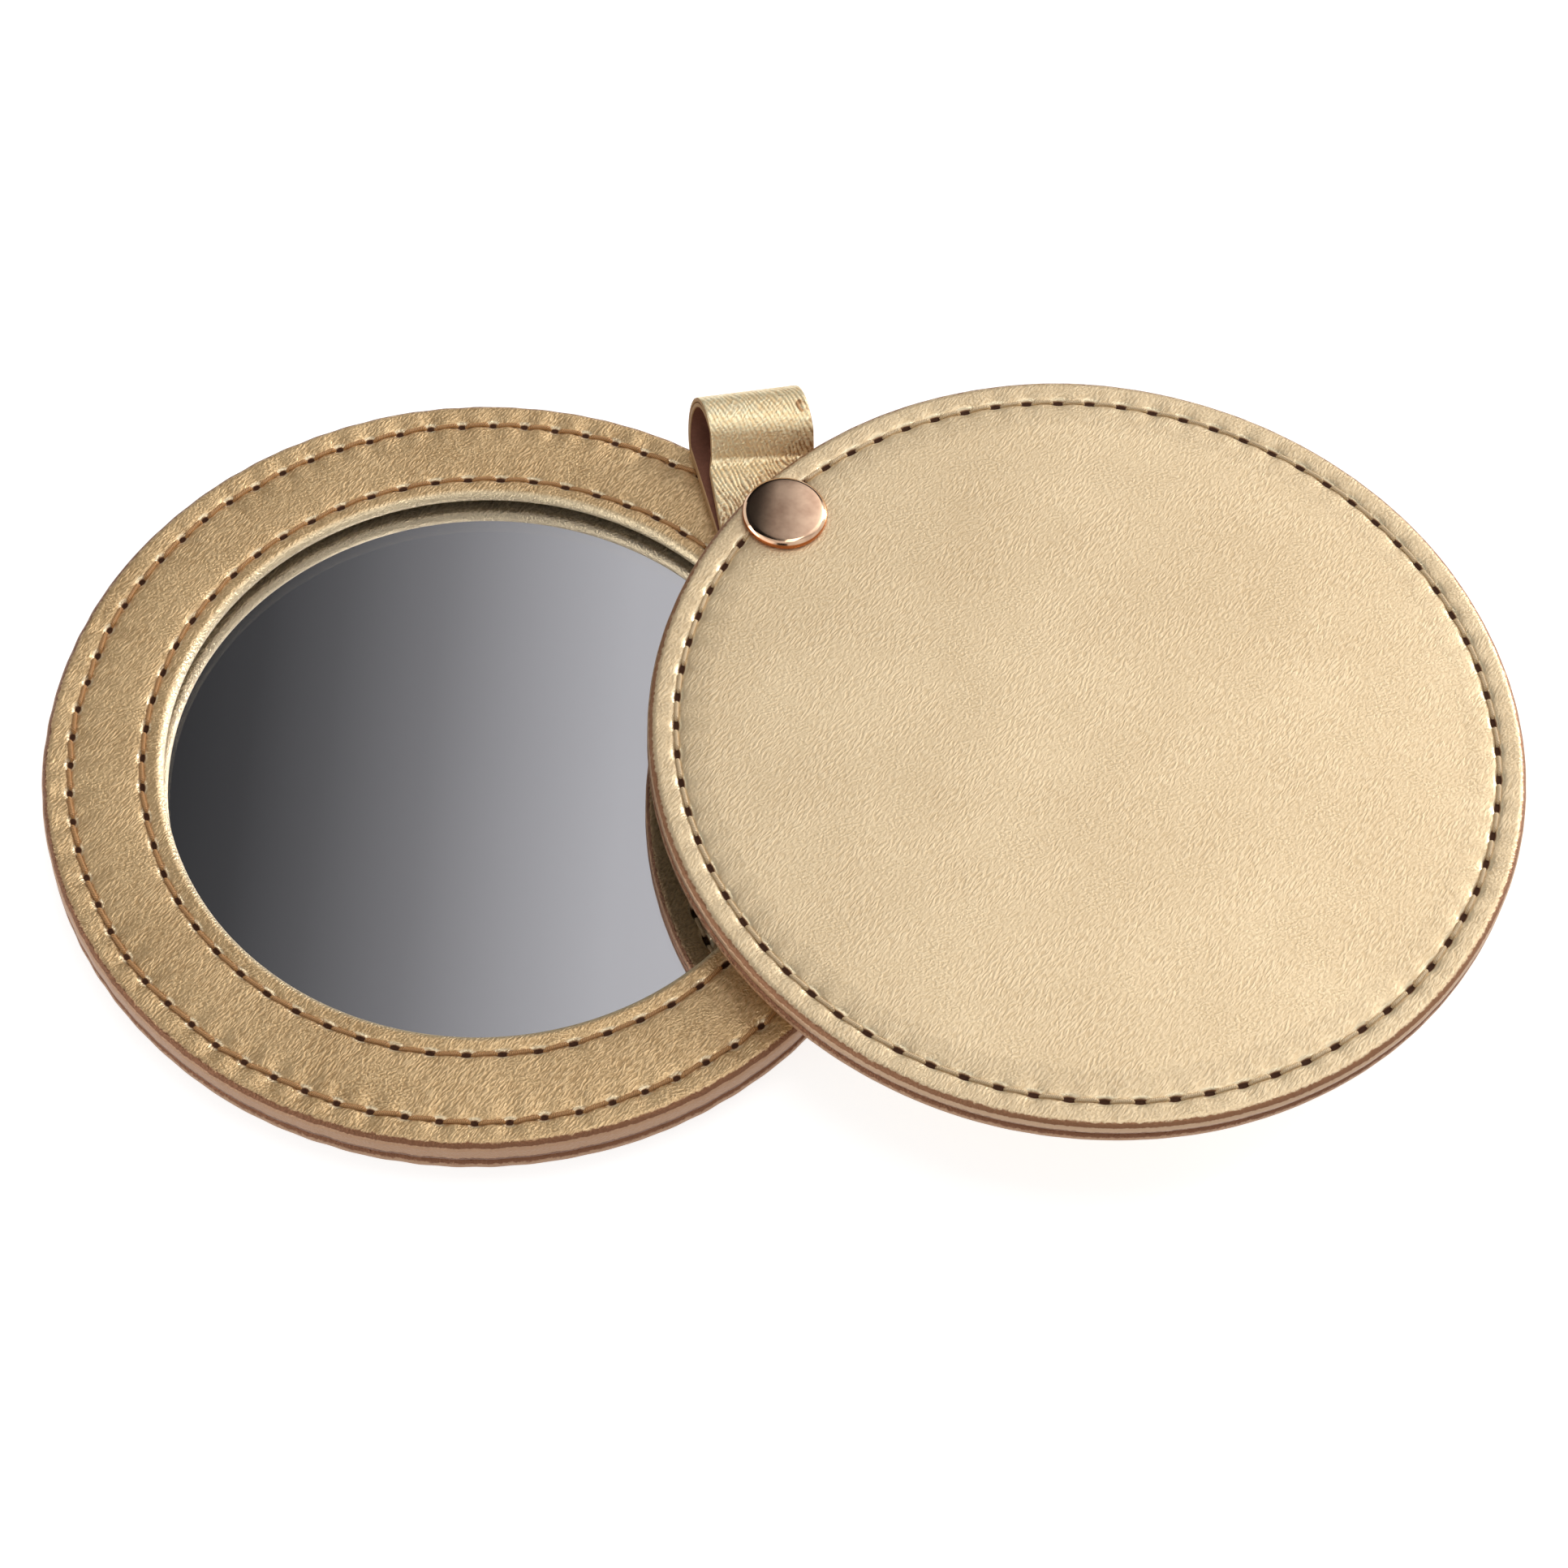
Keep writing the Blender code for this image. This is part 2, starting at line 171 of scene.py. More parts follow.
def new_paint(name, **values):
    """A material, its tree, and its Principled shader with the values given."""
    material = bpy.data.materials.new(name)
    material.use_nodes = True
    tree = material.node_tree
    return material, tree, set_inputs(tree.nodes["Principled BSDF"], **values)


def seen_rays(tree):
    """1 for camera, glossy and transmission rays, so that a backdrop shows in metal and glass."""
    rays = add_node(tree, "LightPath").outputs
    seen = math_node(tree, "MAXIMUM", rays["Is Camera Ray"], rays["Is Glossy Ray"])
    return math_node(tree, "MAXIMUM", seen, rays["Is Transmission Ray"])


# %% World: white where it is seen, moderate where it lights
world_light = 0.27
world = bpy.data.worlds.new("studio_world")
scene.world = world
world.use_nodes = True
tree = world.node_tree
tree.nodes.clear()
lit = set_inputs(add_node(tree, "Background"), Color=(1.0, 0.985, 0.96), Strength=world_light)
shown = set_inputs(add_node(tree, "Background"), Color=(1, 1, 1), Strength=1.0)
chosen = add_node(tree, "MixShader")
for socket, value in zip(chosen.inputs, (seen_rays(tree), lit.outputs[0], shown.outputs[0])):
    feed(socket, value)
set_inputs(add_node(tree, "OutputWorld"), Surface=chosen.outputs[0])

# %% Lamps: name, size, power, place, colour
aim = Vector((0.026, 0.0, 0.005))
for name, size, power, place, colour in (
        ("side_lamp", 0.34, 1.0, (0.56, 0.42, 0.45), (1.0, 0.98, 0.96)),
        ("rake_lamp", 0.23, 3.7, (0.71, 0.47, 0.19), (1.0, 0.98, 0.96)),
        ("top_lamp", 0.50, 1.85, (0.06, 0.28, 0.75), (1.0, 0.99, 0.98)),
        ("front_lamp", 0.45, 0.55, (-0.40, -0.46, 0.23), (1.0, 0.99, 0.98))):
    light = bpy.data.lights.new(name, "AREA")
    light.size, light.energy, light.color = size, power, colour
    lamp = bpy.data.objects.new(name, light)
    scene.collection.objects.link(lamp)
    lamp.location = place
    lamp.rotation_euler = (Vector(place) - aim).to_track_quat("Z", "Y").to_euler()
    print("lamp", name, "at", place)


# %% Mesh helper
def new_piece(name, points, faces, *materials):
    """A smooth mesh object from points in metres."""
    mesh = bpy.data.meshes.new(name)
    mesh.from_pydata(points, [], faces)
    for material in materials:
        mesh.materials.append(material)
    mesh.shade_smooth()
    piece = bpy.data.objects.new(name, mesh)
    scene.collection.objects.link(piece)
    return piece


# %% Floor
floor_half = 3.0
floor_drop = 0.0002
floor_glow = 0.80
floor_paint, tree, shader = new_paint("pale_floor", Base_Color=(0.60, 0.60, 0.60), Roughness=0.9,
                                      Emission_Color=(1, 1, 1), Specular_IOR_Level=0.0)
set_inputs(shader, Emission_Strength=math_node(tree, "MULTIPLY", seen_rays(tree), floor_glow))
corners = [(x * floor_half, y * floor_half, 0) for x, y in ((-1, -1), (1, -1), (1, 1), (-1, 1))]
floor = new_piece("floor", corners, [(0, 1, 2, 3)], floor_paint)
floor.location.z = -floor_drop

# %% [markdown]
# ## Cards
#
# Polished things show the room, so the room has to be right. The mirror in the photograph fades
# from dark grey on the left to light grey on the right, and the rivet's cap goes from black to
# white. One overhead card with that fade explains both, and a dark flag closes the room behind
# it. A white card on the left puts the bright crescent on the cap's rim, a small dark flag in
# front darkens the rim next to it, and a white card above the viewer gives the strap's steep side
# its sheen. The camera sees none of them, and they don't light matt surfaces.

# %% Fade of the overhead card: place in metres from left to right, and brightness there
card_strength = 2.1
fade_from, fade_to = -0.20, 0.40
stops = [(-0.20, 0.026), (-0.12, 0.036), (-0.10, 0.056), (-0.08, 0.108), (-0.054, 0.205),
         (-0.029, 0.345), (-0.004, 0.475), (0.032, 0.53), (0.076, 0.70), (0.12, 0.90),
         (0.20, 1.35), (0.32, 2.1)]
grey_fade = bpy.data.materials.new("grey_fade")
grey_fade.use_nodes = True
tree = grey_fade.node_tree
tree.nodes.clear()
where = set_inputs(add_node(tree, "SeparateXYZ"), Vector=object_place(tree)).outputs
fade = set_inputs(add_node(tree, "ValToRGB"), Fac=ranged(tree, where["X"], fade_from, fade_to))
while len(fade.color_ramp.elements) < len(stops):
    fade.color_ramp.elements.new(0.5)
for element, (place, level) in zip(fade.color_ramp.elements, stops):
    element.position = (place - fade_from) / (fade_to - fade_from)
    share = level / card_strength
    element.color = (share, share * 0.99, min(1.0, share * 1.03), 1)
far_end = ranged(tree, where["Y"], 0.62, 1.15, 1.0, 0.12)
near_end = ranged(tree, where["Y"], -0.12, 0.16, 0.30, 1.0)
dimmed = add_node(tree, "VectorMath", operation="SCALE")
feed(dimmed.inputs[0], fade.outputs["Color"])
feed(dimmed.inputs["Scale"], math_node(tree, "MULTIPLY", far_end, near_end))
glow = set_inputs(add_node(tree, "Emission"), Color=dimmed.outputs[0], Strength=card_strength)
set_inputs(add_node(tree, "OutputMaterial"), Surface=glow.outputs[0])

# %% Cards and flags: name, two opposite corners, material
dark_felt = new_paint("dark_felt", Base_Color=(0.03, 0.02, 0.015), Roughness=1.0)[0]
white_card = new_paint("white_card", Emission_Color=(1, 0.99, 0.97), Emission_Strength=3.0)[0]
for name, (x, y, z), (to_x, to_y, to_z), material in (
        ("overhead_card", (-1.2, -0.22, 0.50), (1.0, 1.3, 0.50), grey_fade),
        ("back_flag", (-1.2, 1.3, 0.0), (1.0, 1.3, 0.50), dark_felt),
        ("left_card", (-0.8, -0.50, 0.0), (-0.8, 0.02, 0.42), white_card),
        ("front_flag", (-0.14, -0.62, 0.10), (0.14, -0.62, 0.46), dark_felt),
        ("zenith_card", (0.06, -0.34, 0.48), (0.24, 0.02, 0.48), white_card)):
    level = z == to_z
    corners = [(x, y, z), (to_x, y if level else to_y, z), (to_x, to_y, to_z),
               (x, to_y if level else y, to_z)]
    card = new_piece(name, corners, [(0, 1, 2, 3)], material)
    card.visible_camera = False
    card.visible_shadow = False
    card.visible_diffuse = False
    print("card", name, "from", (x, y, z), "to", (to_x, to_y, to_z))

# %% [markdown]
# ## Crease grain
#
# Leatherette is pressed with a roller, so its grain is a field of short creases that lean one
# way, broken by patches of finer, rounder grain. Two stretched noises, turned against each other
# and chosen by a slow third one, give that. Built once as a node group, the same grain serves
# the cover, the ring and the strap, each with its own scale.

# %% Crease grain group
crease_grain = bpy.data.node_groups.new("crease_grain", "ShaderNodeTree")
for label, kind, default in (("Vector", "NodeSocketVector", (0, 0, 0)),
                             ("Scale", "NodeSocketFloat", 4800.0),
                             ("Patch Scale", "NodeSocketFloat", 260.0)):
    socket = crease_grain.interface.new_socket(label, in_out="INPUT", socket_type=kind)
    socket.default_value = default
crease_grain.interface.new_socket("Height", in_out="OUTPUT", socket_type="NodeSocketFloat")
given = crease_grain.nodes.new("NodeGroupInput").outputs


def turned_noise(angle, stretch):
    """Noise whose grains are drawn out along one direction in the plane."""
    turn = set_inputs(add_node(crease_grain, "Mapping", vector_type="TEXTURE"),
                      Vector=given["Vector"], Rotation=(0, 0, math.radians(angle)),
                      Scale=(stretch, 1, 1))
    return noise_node(crease_grain, turn.outputs[0], given["Scale"], 1.0, distortion=0.35)


patches = noise_node(crease_grain, given["Vector"], given["Patch Scale"], 2.0, 0.6)
grain_mix = set_inputs(add_node(crease_grain, "Mix", data_type="FLOAT"),
                       Factor=ranged(crease_grain, patches, 0.46, 0.62),
                       A=turned_noise(56, 2.7), B=turned_noise(20, 1.4))
set_inputs(crease_grain.nodes.new("NodeGroupOutput"),
           Height=ranged(crease_grain, grain_mix.outputs["Result"], 0.33, 0.67))
print("groups", [group.name for group in bpy.data.node_groups])

# %% [markdown]
# ## Leatherette
#
# The foil on it is part metal and part lacquer: it is pale where it faces the light, and brown
# where it turns away. A half metallic shader does this by itself. The rest follows four masks
# that the meshes carry, and all four are painted light. One paints shade into the needle holes
# and a brown lip round them. One paints the foil brown where it rolls over the card and in the
# crevices, strongest on the side facing the viewer: painted shade, with some wear. One paints the
# sides darker and pinker than the face: painted shade. One paints the foil paler where it is
# stretched, a painted highlight, and also makes it smoother there.

# %% Leatherette maker
# Painted shade: the needle holes are painted near black inside.
hole_shade_brown = (0.055, 0.017, 0.004)
# Painted highlight: the colour that stretched foil is painted, where it is also made smoother.
painted_highlight_foil = (0.97, 0.85, 0.60)


def leatherette(name, pale, deep, wear_and_shade, side_shade, metallic, roughness, grain_scale, grain_depth):
    """Metallic leatherette with crease grain and slow mottling, painted shade on its rims, crevices
    and sides and in its needle holes, and a painted highlight where it is stretched.
    """
    material, tree, shader = new_paint(name, Metallic=metallic, Specular_IOR_Level=0.4)
    place = object_place(tree)
    dark, edge, side, shine = [
        add_node(tree, "Attribute", attribute_name=label).outputs["Fac"]
        for label in ("hole_shade_mask", "wear_and_shade_mask", "side_shade_mask", "highlight_and_polish_mask")]
    grain = set_inputs(add_node(tree, "Group", node_tree=crease_grain), Vector=place,
                       Scale=grain_scale).outputs["Height"]
    fine = math_node(tree, "MULTIPLY", grain, 0.62)
    broad = math_node(tree, "MULTIPLY", noise_node(tree, place, 70.0, 3.0, 0.6), 0.76)
    tone = ranged(tree, math_node(tree, "ADD", fine, broad), 0.28, 1.08)

    # Painted shade with some wear: the foil goes brown on the rims and in the crevices, with a
    # ragged edge.
    ragged = math_node(tree, "MULTIPLY", noise_node(tree, place, 2400.0, 3.0, 0.6), 1.6)
    ragged = math_node(tree, "SUBTRACT", ragged, 0.8)
    wear_shade = ranged(tree, math_node(tree, "ADD", edge, ragged), 0.22, 0.62, 0.0, 0.95)
    wear_shade = math_node(tree, "MULTIPLY", wear_shade, math_node(tree, "GREATER_THAN", edge, 0.02))
    # Painted shade: a brown lip round each needle hole.
    wear_shade = math_node(tree, "MAXIMUM", wear_shade, ranged(tree, dark, 0.05, 0.40, 0.0, 0.9))

    colour = mixed(tree, tone, deep, pale)
    # Painted shade: the sides and the roll darker and pinker than the face.
    colour = mixed(tree, side, colour, side_shade)
    # Painted highlight: paler foil where it is stretched.
    colour = mixed(tree, shine, colour, painted_highlight_foil)
    colour = mixed(tree, wear_shade, colour, wear_and_shade)
    colour = mixed(tree, ranged(tree, dark, 0.30, 0.85), colour, hole_shade_brown)

    matt = ranged(tree, grain, 0.0, 1.0, roughness + 0.07, roughness - 0.05)
    matt = math_node(tree, "ADD", matt, math_node(tree, "MULTIPLY", dark, 0.4))
    matt = math_node(tree, "SUBTRACT", matt, math_node(tree, "MULTIPLY", shine, 0.17))
    set_inputs(shader, Base_Color=colour, Roughness=matt,
               Normal=bumped(tree, grain, 1.0, grain_depth))
    return material


champagne = leatherette("champagne_leatherette", pale=(0.84, 0.67, 0.43), deep=(0.63, 0.47, 0.275),
                        wear_and_shade=(0.25, 0.105, 0.045), side_shade=(0.60, 0.40, 0.255), metallic=0.45,
                        roughness=0.43, grain_scale=4800.0, grain_depth=0.000024)
bronze = leatherette("bronze_leatherette", pale=(0.87, 0.625, 0.34), deep=(0.46, 0.29, 0.13),
                     wear_and_shade=(0.20, 0.078, 0.034), side_shade=(0.50, 0.295, 0.175), metallic=0.5,
                     roughness=0.42, grain_scale=5200.0, grain_depth=0.00005)
# Painted highlight: the strap gets a paler, smoother copy of the champagne leatherette, so that its
# sheen reads bright.
lit_strap_foil = leatherette("lit_strap_leatherette", pale=(1.0, 0.91, 0.63), deep=(0.93, 0.66, 0.34),
                         wear_and_shade=(0.42, 0.22, 0.09), side_shade=(0.60, 0.40, 0.26), metallic=0.45,
                         roughness=0.33, grain_scale=4800.0, grain_depth=0.00002)
print("materials", [material.name for material in bpy.data.materials])

# %% [markdown]
# ## Seams
#
# The seam is what makes the discs look sewn. The needle pulls the sheet down at each hole, the
# thread presses a groove between the holes, and small gathers run from there to the rim. All of
# that is a depth that depends on the radius and on the distance along the seam, so one function
# can give it for any point of a skin. Hand feeding makes the holes wander a little, more so on
# the base than on the cover.

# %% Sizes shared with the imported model, in millimetres
disc_radius = 37.90
pivot_distance = 34.0
rivet_azimuth = 43.0
cover_swing = 99.5
leather = 0.5
rim_seam_radius = 35.4
window_radius = 27.5
window_seam_radius = 29.3
base_bottom, base_split, base_top = 0.0, 1.6, 4.3
cover_bottom, cover_split, cover_top = 6.7, 8.0, 9.6
base_azimuth = math.radians(rivet_azimuth)
cover_azimuth = math.radians(rivet_azimuth + cover_swing)


def to_rivet(azimuth):
    """The way from a disc's centre to the rivet."""
    return pivot_distance * np.array([math.cos(azimuth), math.sin(azimuth)])


base_centre = np.zeros(2)
rivet_centre = to_rivet(base_azimuth)
cover_centre = rivet_centre - to_rivet(cover_azimuth)
print("rivet", rivet_centre.round(3), "cover centre", cover_centre.round(3))

# %% Outer faces of the four skins: centre, azimuth, height, and 1 for up or -1 for down
cover_face = (cover_centre, cover_azimuth, cover_top, 1)
lining_face = (cover_centre, cover_azimuth, cover_bottom, -1)
ring_face = (base_centre, base_azimuth, base_top, 1)
back_face = (base_centre, base_azimuth, base_bottom, -1)

# %% Seam plans, in millimetres
# Holes are counted round the whole circle from the rivet, and skip has the one under its cap.
# press, pull and gather are depths, and loose is how far the seam strays. hole has the half length
# and half width of a needle hole. A stitch starts at a share of the pitch and leans by its slant.
cover_plan = dict(radius=rim_seam_radius, holes=77, phase=math.radians(3.1), skip=(76,),
                  press=0.14, pull=0.30, gather=0.05, loose=0.03, hole=(0.55, 0.22),
                  start=0.165, slant=0.09)
rim_plan = dict(radius=rim_seam_radius, holes=78, phase=math.radians(4.4), skip=(77,),
                press=0.15, pull=0.34, gather=0.16, loose=0.10, hole=(0.32, 0.22),
                start=0.125, slant=0.24)
window_plan = dict(radius=window_seam_radius, holes=62, phase=math.radians(2.5), skip=(),
                   press=0.14, pull=0.27, gather=0.05, loose=0.05, hole=(0.43, 0.20),
                   start=0.14, slant=0.18)
print("pitch", [round(math.tau * plan["radius"] / plan["holes"], 2)
                for plan in (cover_plan, rim_plan, window_plan)])


# %% Curves
def bell(offset, width):
    """1 in the middle, falling off smoothly on both sides."""
    return np.exp(-(offset / width) ** 2)


def ease(low, high, value):
    """0 below low, 1 above high, smooth between."""
    part = np.clip((value - low) / (high - low), 0.0, 1.0)
    return part * part * (3 - 2 * part)


def varied(number, seed):
    """A steady pseudo-random value from -1 to 1 for each hole number."""
    value = np.sin(number * 12.9898 + seed * 78.233) * 43758.5453
    return 2.0 * (value - np.floor(value)) - 1.0


# %% Seam depth: widths and depths in millimetres, the last row in sizes of the hole
groove_half, hollow_half, hollow_depth = 0.24, 0.85, 0.09
pull_along, pull_across = 0.78, 0.42
gather_from_seam, gather_half = 0.9, 0.75
deepest_pull, hole_floor = 0.44, 0.47
hole_wall, hole_lip, highlight_polish_at, highlight_polish_half = 0.75, 1.5, 1.75, 0.42


def seam_wander(turn, seam):
    """How far the seam strays at a place between two holes."""
    low = np.floor(turn)
    part = turn - low
    return seam["loose"] * ((1 - part) * varied(low % seam["holes"], 5)
                            + part * varied((low + 1) % seam["holes"], 5))


def seam_push(radius, angle, seam):
    """Depth that a seam adds at a place, and the masks of its needle holes and of the painted
    highlight and polish round them.
    """
    spacing = math.tau / seam["holes"]
    turn = (angle - seam["phase"]) / spacing
    number = np.round(turn) % seam["holes"]
    along = (turn - np.round(turn)) * spacing * seam["radius"]
    across = radius - seam["radius"] - seam_wander(turn, seam)
    there = np.where(np.isin(number, seam["skip"]), 0.0, 1.0)
    strength = there * (1 + 0.25 * varied(number, 7))
    groove = seam["press"] * bell(across, groove_half) + hollow_depth * bell(across, hollow_half)
    pull = seam["pull"] * bell(along, pull_along) * bell(across, pull_across) * strength
    crown = 0.5 + 0.5 * np.cos(math.tau * (turn - np.round(turn)))
    ridge = seam["gather"] * (0.75 + 0.5 * varied(number, 11)) * crown
    gather = ridge * bell(np.abs(across) - gather_from_seam, gather_half)
    depth = np.minimum(groove + pull + gather, deepest_pull)
    long_half, short_half = seam["hole"]
    ellipse = np.sqrt((along / long_half) ** 2 + (across / short_half) ** 2)
    highlight_polish_ring = bell(ellipse - highlight_polish_at, highlight_polish_half) * there
    inside = (1 - ease(hole_wall, hole_lip, ellipse)) * there
    return depth + np.maximum(hole_floor - depth, 0.0) * inside, inside, highlight_polish_ring


# %% [markdown]
# ## Skins
#
# Each skin is one closed sheet turned round a card, so its section is simple: face, rolled rim,
# turned edge, inner side. It could be a flat disc with a bevel, but then the roll would have no
# thickness at the crevice between two leaves, where it shows. The section is swept in fine steps
# round the disc's centre, with the points crowded at the seams, and each point goes down by the
# seam's depth.

# %% Radii inside the skins, in millimetres
flat_from = 32.4
under_seam = 34.0
turned_to = 31.6
lining_to = 33.0
card_edge = disc_radius - 1.2
card_gap = 0.1
face_share, split_share = 0.6, 0.2

# %% Tilts on the rim's roll, in degrees, where the masks start and end
seams_end = 50
# Painted shade with some wear on the roll's shoulder, strongest on the side facing the viewer.
wear_shade_starts, wear_shade_ends = (14, 44), (54, 64)
# Painted shade: part of it starts early on the roll, the rest where the side begins.
tint_starts, wall_starts, tint_share = (8, 40), (50, 60), 0.35
crevice_shade = 0.3


# %% Section helpers: points are (radius, depth below the face, seam weight, painted shade and wear, painted side shade)
def arc(r, d, radius, start, end, steps):
    """Points of an arc in the section, angles in degrees, both ends kept."""
    angles = np.radians(np.linspace(start, end, steps + 1))
    return [(r + radius * math.cos(a), d + radius * math.sin(a)) for a in angles]


def weighted(points, weight, wear_and_shade=0.0, side_shade=0.0):
    """Points that all carry the same masks."""
    return [(r, d, weight, wear_and_shade, side_shade) for r, d in points]


def seam_stations(radius):
    """Radii that crowd round a seam, where the surface bends most."""
    offsets = (-2.4, -1.8, -1.35, -1.05, -0.8, -0.62, -0.48, -0.38, -0.30, -0.22, -0.14, -0.05,
               0.05, 0.14, 0.22, 0.30, 0.38, 0.48, 0.62, 0.8, 1.05, 1.3)
    return [(radius + offset, 0.0) for offset in offsets]


def rim_roll(roll):
    """The rounded rim from face to side; seams fade out on it and its shoulder gets painted shade
    with some wear.
    """
    points = arc(disc_radius - roll, roll, roll, -90, 0, 18)
    result = []
    for i, (r, d) in enumerate(points):
        tilt = 90 * i / (len(points) - 1)
        wear_and_shade = ease(*wear_shade_starts, tilt) * (1 - ease(*wear_shade_ends, tilt))
        side_shade = tint_share * ease(*tint_starts, tilt) + (1 - tint_share) * ease(*wall_starts, tilt)
        result.append((r, d, max(0.0, 1 - tilt / seams_end), wear_and_shade, side_shade))
    return result


def crevice_roll(depth, roll, lip):
    """The roll from the side into the crevice between two leaves, with painted shade from the lip
    inward.
    """
    steps = 8
    points = arc(disc_radius - roll, depth - roll, roll, 0, 90, steps)
    return [(r, d, 0.0, ease(lip - crevice_shade, lip + crevice_shade, i / steps), 1.0)
            for i, (r, d) in enumerate(points)]


def disc_section(depth, card, lip):
    """Section of a whole disc: face with its rim seam, roll, crevice, turned edge, inner side."""
    turned = [(under_seam, depth), (turned_to, depth), (turned_to, depth - leather)]
    inside = [(card_edge, depth - leather), (card_edge, leather + card_gap),
              (lining_to, leather + card_gap)]
    return (weighted([(flat_from, 0.0)], 0.0) + weighted(seam_stations(rim_seam_radius), 1.0)
            + rim_roll(leather + card * face_share)
            + crevice_roll(depth, leather + card * split_share, lip)
            + weighted(turned + inside, 0.0, 1.0))


# %% Skin builder
# Painted highlight and polish on the window roll: paler, smoother foil from 27.7 to 28.1 mm.
window_highlight_polish = (27.7, 28.1, 0.60)
uneven_from, uneven_width, uneven_inset = 36.6, 1.0, 0.03
uneven_waves = ((0.018, 7, 1.3), (0.012, 13, 0.4))
gather_share = 0.22
shaded_share = 0.50
# Painted highlight and polish: a paler, smoother ring round each needle hole.
stretch_highlight_polish = 0.8


def turned_skin(name, section, seams, face, columns, material, whole):
    """Sweep a closed section round a disc's centre and press its seams into the face.

    A whole disc's middle is closed by two flat faces; a ring's section goes round its window.
    """
    centre, azimuth, face_height, facing = face
    count = len(section)
    radius, depth, weight, wear_and_shade, side_shade = [
        np.tile(values, (columns, 1)) for values in np.array(section).T]
    turn = np.tile((np.arange(columns) * math.tau / columns)[:, None], (1, count))
    # Painted shade: rims and crevices are browner on the side facing the viewer than at the back.
    front = 0.5 - 0.5 * np.sin(turn + azimuth)
    wear_and_shade = wear_and_shade * (1 - (1 - side_shade) * shaded_share * (1 - front))
    dark = np.zeros_like(radius)
    highlight_polish_from, highlight_polish_to, highlight_polish_share = window_highlight_polish
    bright = highlight_polish_share * np.clip((highlight_polish_to - radius) / (highlight_polish_to - highlight_polish_from), 0, 1)
    for seam in seams:
        push, inside, highlight_polish_ring = seam_push(radius, turn, seam)
        depth = depth + push * weight
        dark = np.maximum(dark, inside * np.round(weight))
        bright = np.maximum(bright, stretch_highlight_polish * highlight_polish_ring * np.round(weight))
    rim = seams[0]
    stitch_turn = (turn - rim["phase"]) * rim["holes"] / math.tau
    gathers = gather_share * rim["gather"] * (1 + varied(np.round(stitch_turn) % rim["holes"], 2))
    uneven = sum(height * np.sin(waves * turn + shift) for height, waves, shift in uneven_waves)
    uneven = uneven - gathers * (0.5 + 0.5 * np.cos(math.tau * stitch_turn))
    outer = np.clip((radius - uneven_from) / uneven_width, 0, 1)
    radius = radius + (uneven - uneven_inset) * outer
    x = centre[0] + radius * np.cos(turn + azimuth)
    y = centre[1] + radius * np.sin(turn + azimuth)
    z = face_height - facing * depth
    points = np.stack([x, y, z], axis=2).reshape(-1, 3) * mm
    faces = []
    for i in range(columns):
        a, b = i * count, ((i + 1) % columns) * count
        for j in range(count - 1 if whole else count):
            k = (j + 1) % count
            faces.append((a + j, b + j, b + k, a + k))
    if whole:
        faces.append(range(0, columns * count, count)[::-1])
        faces.append(range(count - 1, columns * count, count))
    if facing > 0:
        faces = [corners[::-1] for corners in faces]
    skin = new_piece(name, points.tolist(), faces, material)
    for label, values in (("hole_shade_mask", dark), ("wear_and_shade_mask", wear_and_shade), ("side_shade_mask", side_shade),
                          ("highlight_and_polish_mask", bright)):
        mask = skin.data.attributes.new(label, "FLOAT", "POINT")
        mask.data.foreach_set("value", values.reshape(-1).astype(np.float32))
    return skin


# %% Section of the ring, with its window roll
window_lip = 1.5
lip_roll = window_lip / 2
roll_centre = window_radius + lip_roll
ring_depth = base_top - base_split
ring_card = 1.7
ring_face_share, ring_split_share = 0.25, 0.06
ring_split_roll = leather + ring_card * ring_split_share
ring_card_edge = 36.6
wall_foot, ring_lip = 0.30, -0.15
lip_inside, lip_turned_to = 29.0, 31.0
between_seams = [(31.6, 0.0), (32.3, 0.0)]
window_face = [(r, d) for r, d in seam_stations(window_seam_radius) if r > roll_centre + 0.1]
ring_section = weighted(arc(roll_centre, lip_roll, lip_roll, 180, 270, 10)[:-1], 0.0)
ring_section += weighted([(roll_centre, 0.0)], 0.35)
ring_section += weighted(window_face + between_seams + seam_stations(rim_seam_radius), 1.0)
ring_section += rim_roll(leather + ring_card * ring_face_share)
ring_section += weighted([(disc_radius, ring_depth - ring_split_roll - wall_foot)], 0.0, side_shade=1.0)
ring_section += crevice_roll(ring_depth, ring_split_roll, ring_lip)
ring_section += weighted([
    (under_seam, ring_depth), (turned_to, ring_depth), (turned_to, ring_depth - leather),
    (ring_card_edge, ring_depth - leather), (ring_card_edge, leather + card_gap),
    (lip_inside, leather + card_gap), (lip_inside, window_lip - leather),
    (lip_turned_to, window_lip - leather), (lip_turned_to, window_lip)], 0.0)
ring_section += weighted(arc(roll_centre, lip_roll, lip_roll, 90, 180, 8)[:-1], 0.0)
print("ring section", len(ring_section), "points")

# %% Four skins: name, section, seams, face, columns, material, whole, body, packed panel, slot
for name, section, seams, face, columns, material, whole, body, node, slot in (
        ("cover_skin", disc_section(cover_top - cover_split, 0.6, 0.0), [cover_plan], cover_face,
         1386, champagne, True, "cover", "cover_panel", "champagne_leatherette"),
        ("lining_skin", disc_section(cover_split - cover_bottom, 0.3, 0.25), [cover_plan],
         lining_face, 693, bronze, True, "cover", "lining_panel", "bronze_leatherette"),
        ("back_skin", disc_section(base_split - base_bottom, 0.6, 0.25), [rim_plan], back_face,
         702, bronze, True, "base", "back_panel", "bronze_leatherette"),
        ("ring_skin", ring_section, [rim_plan, window_plan], ring_face,
         1404, bronze, False, "base", "ring_panel", "bronze_leatherette")):
    skin = turned_skin(name, section, seams, face, columns, material, whole)
    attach(skin, body)
    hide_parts(node)
    print(name, len(skin.data.vertices), "points")

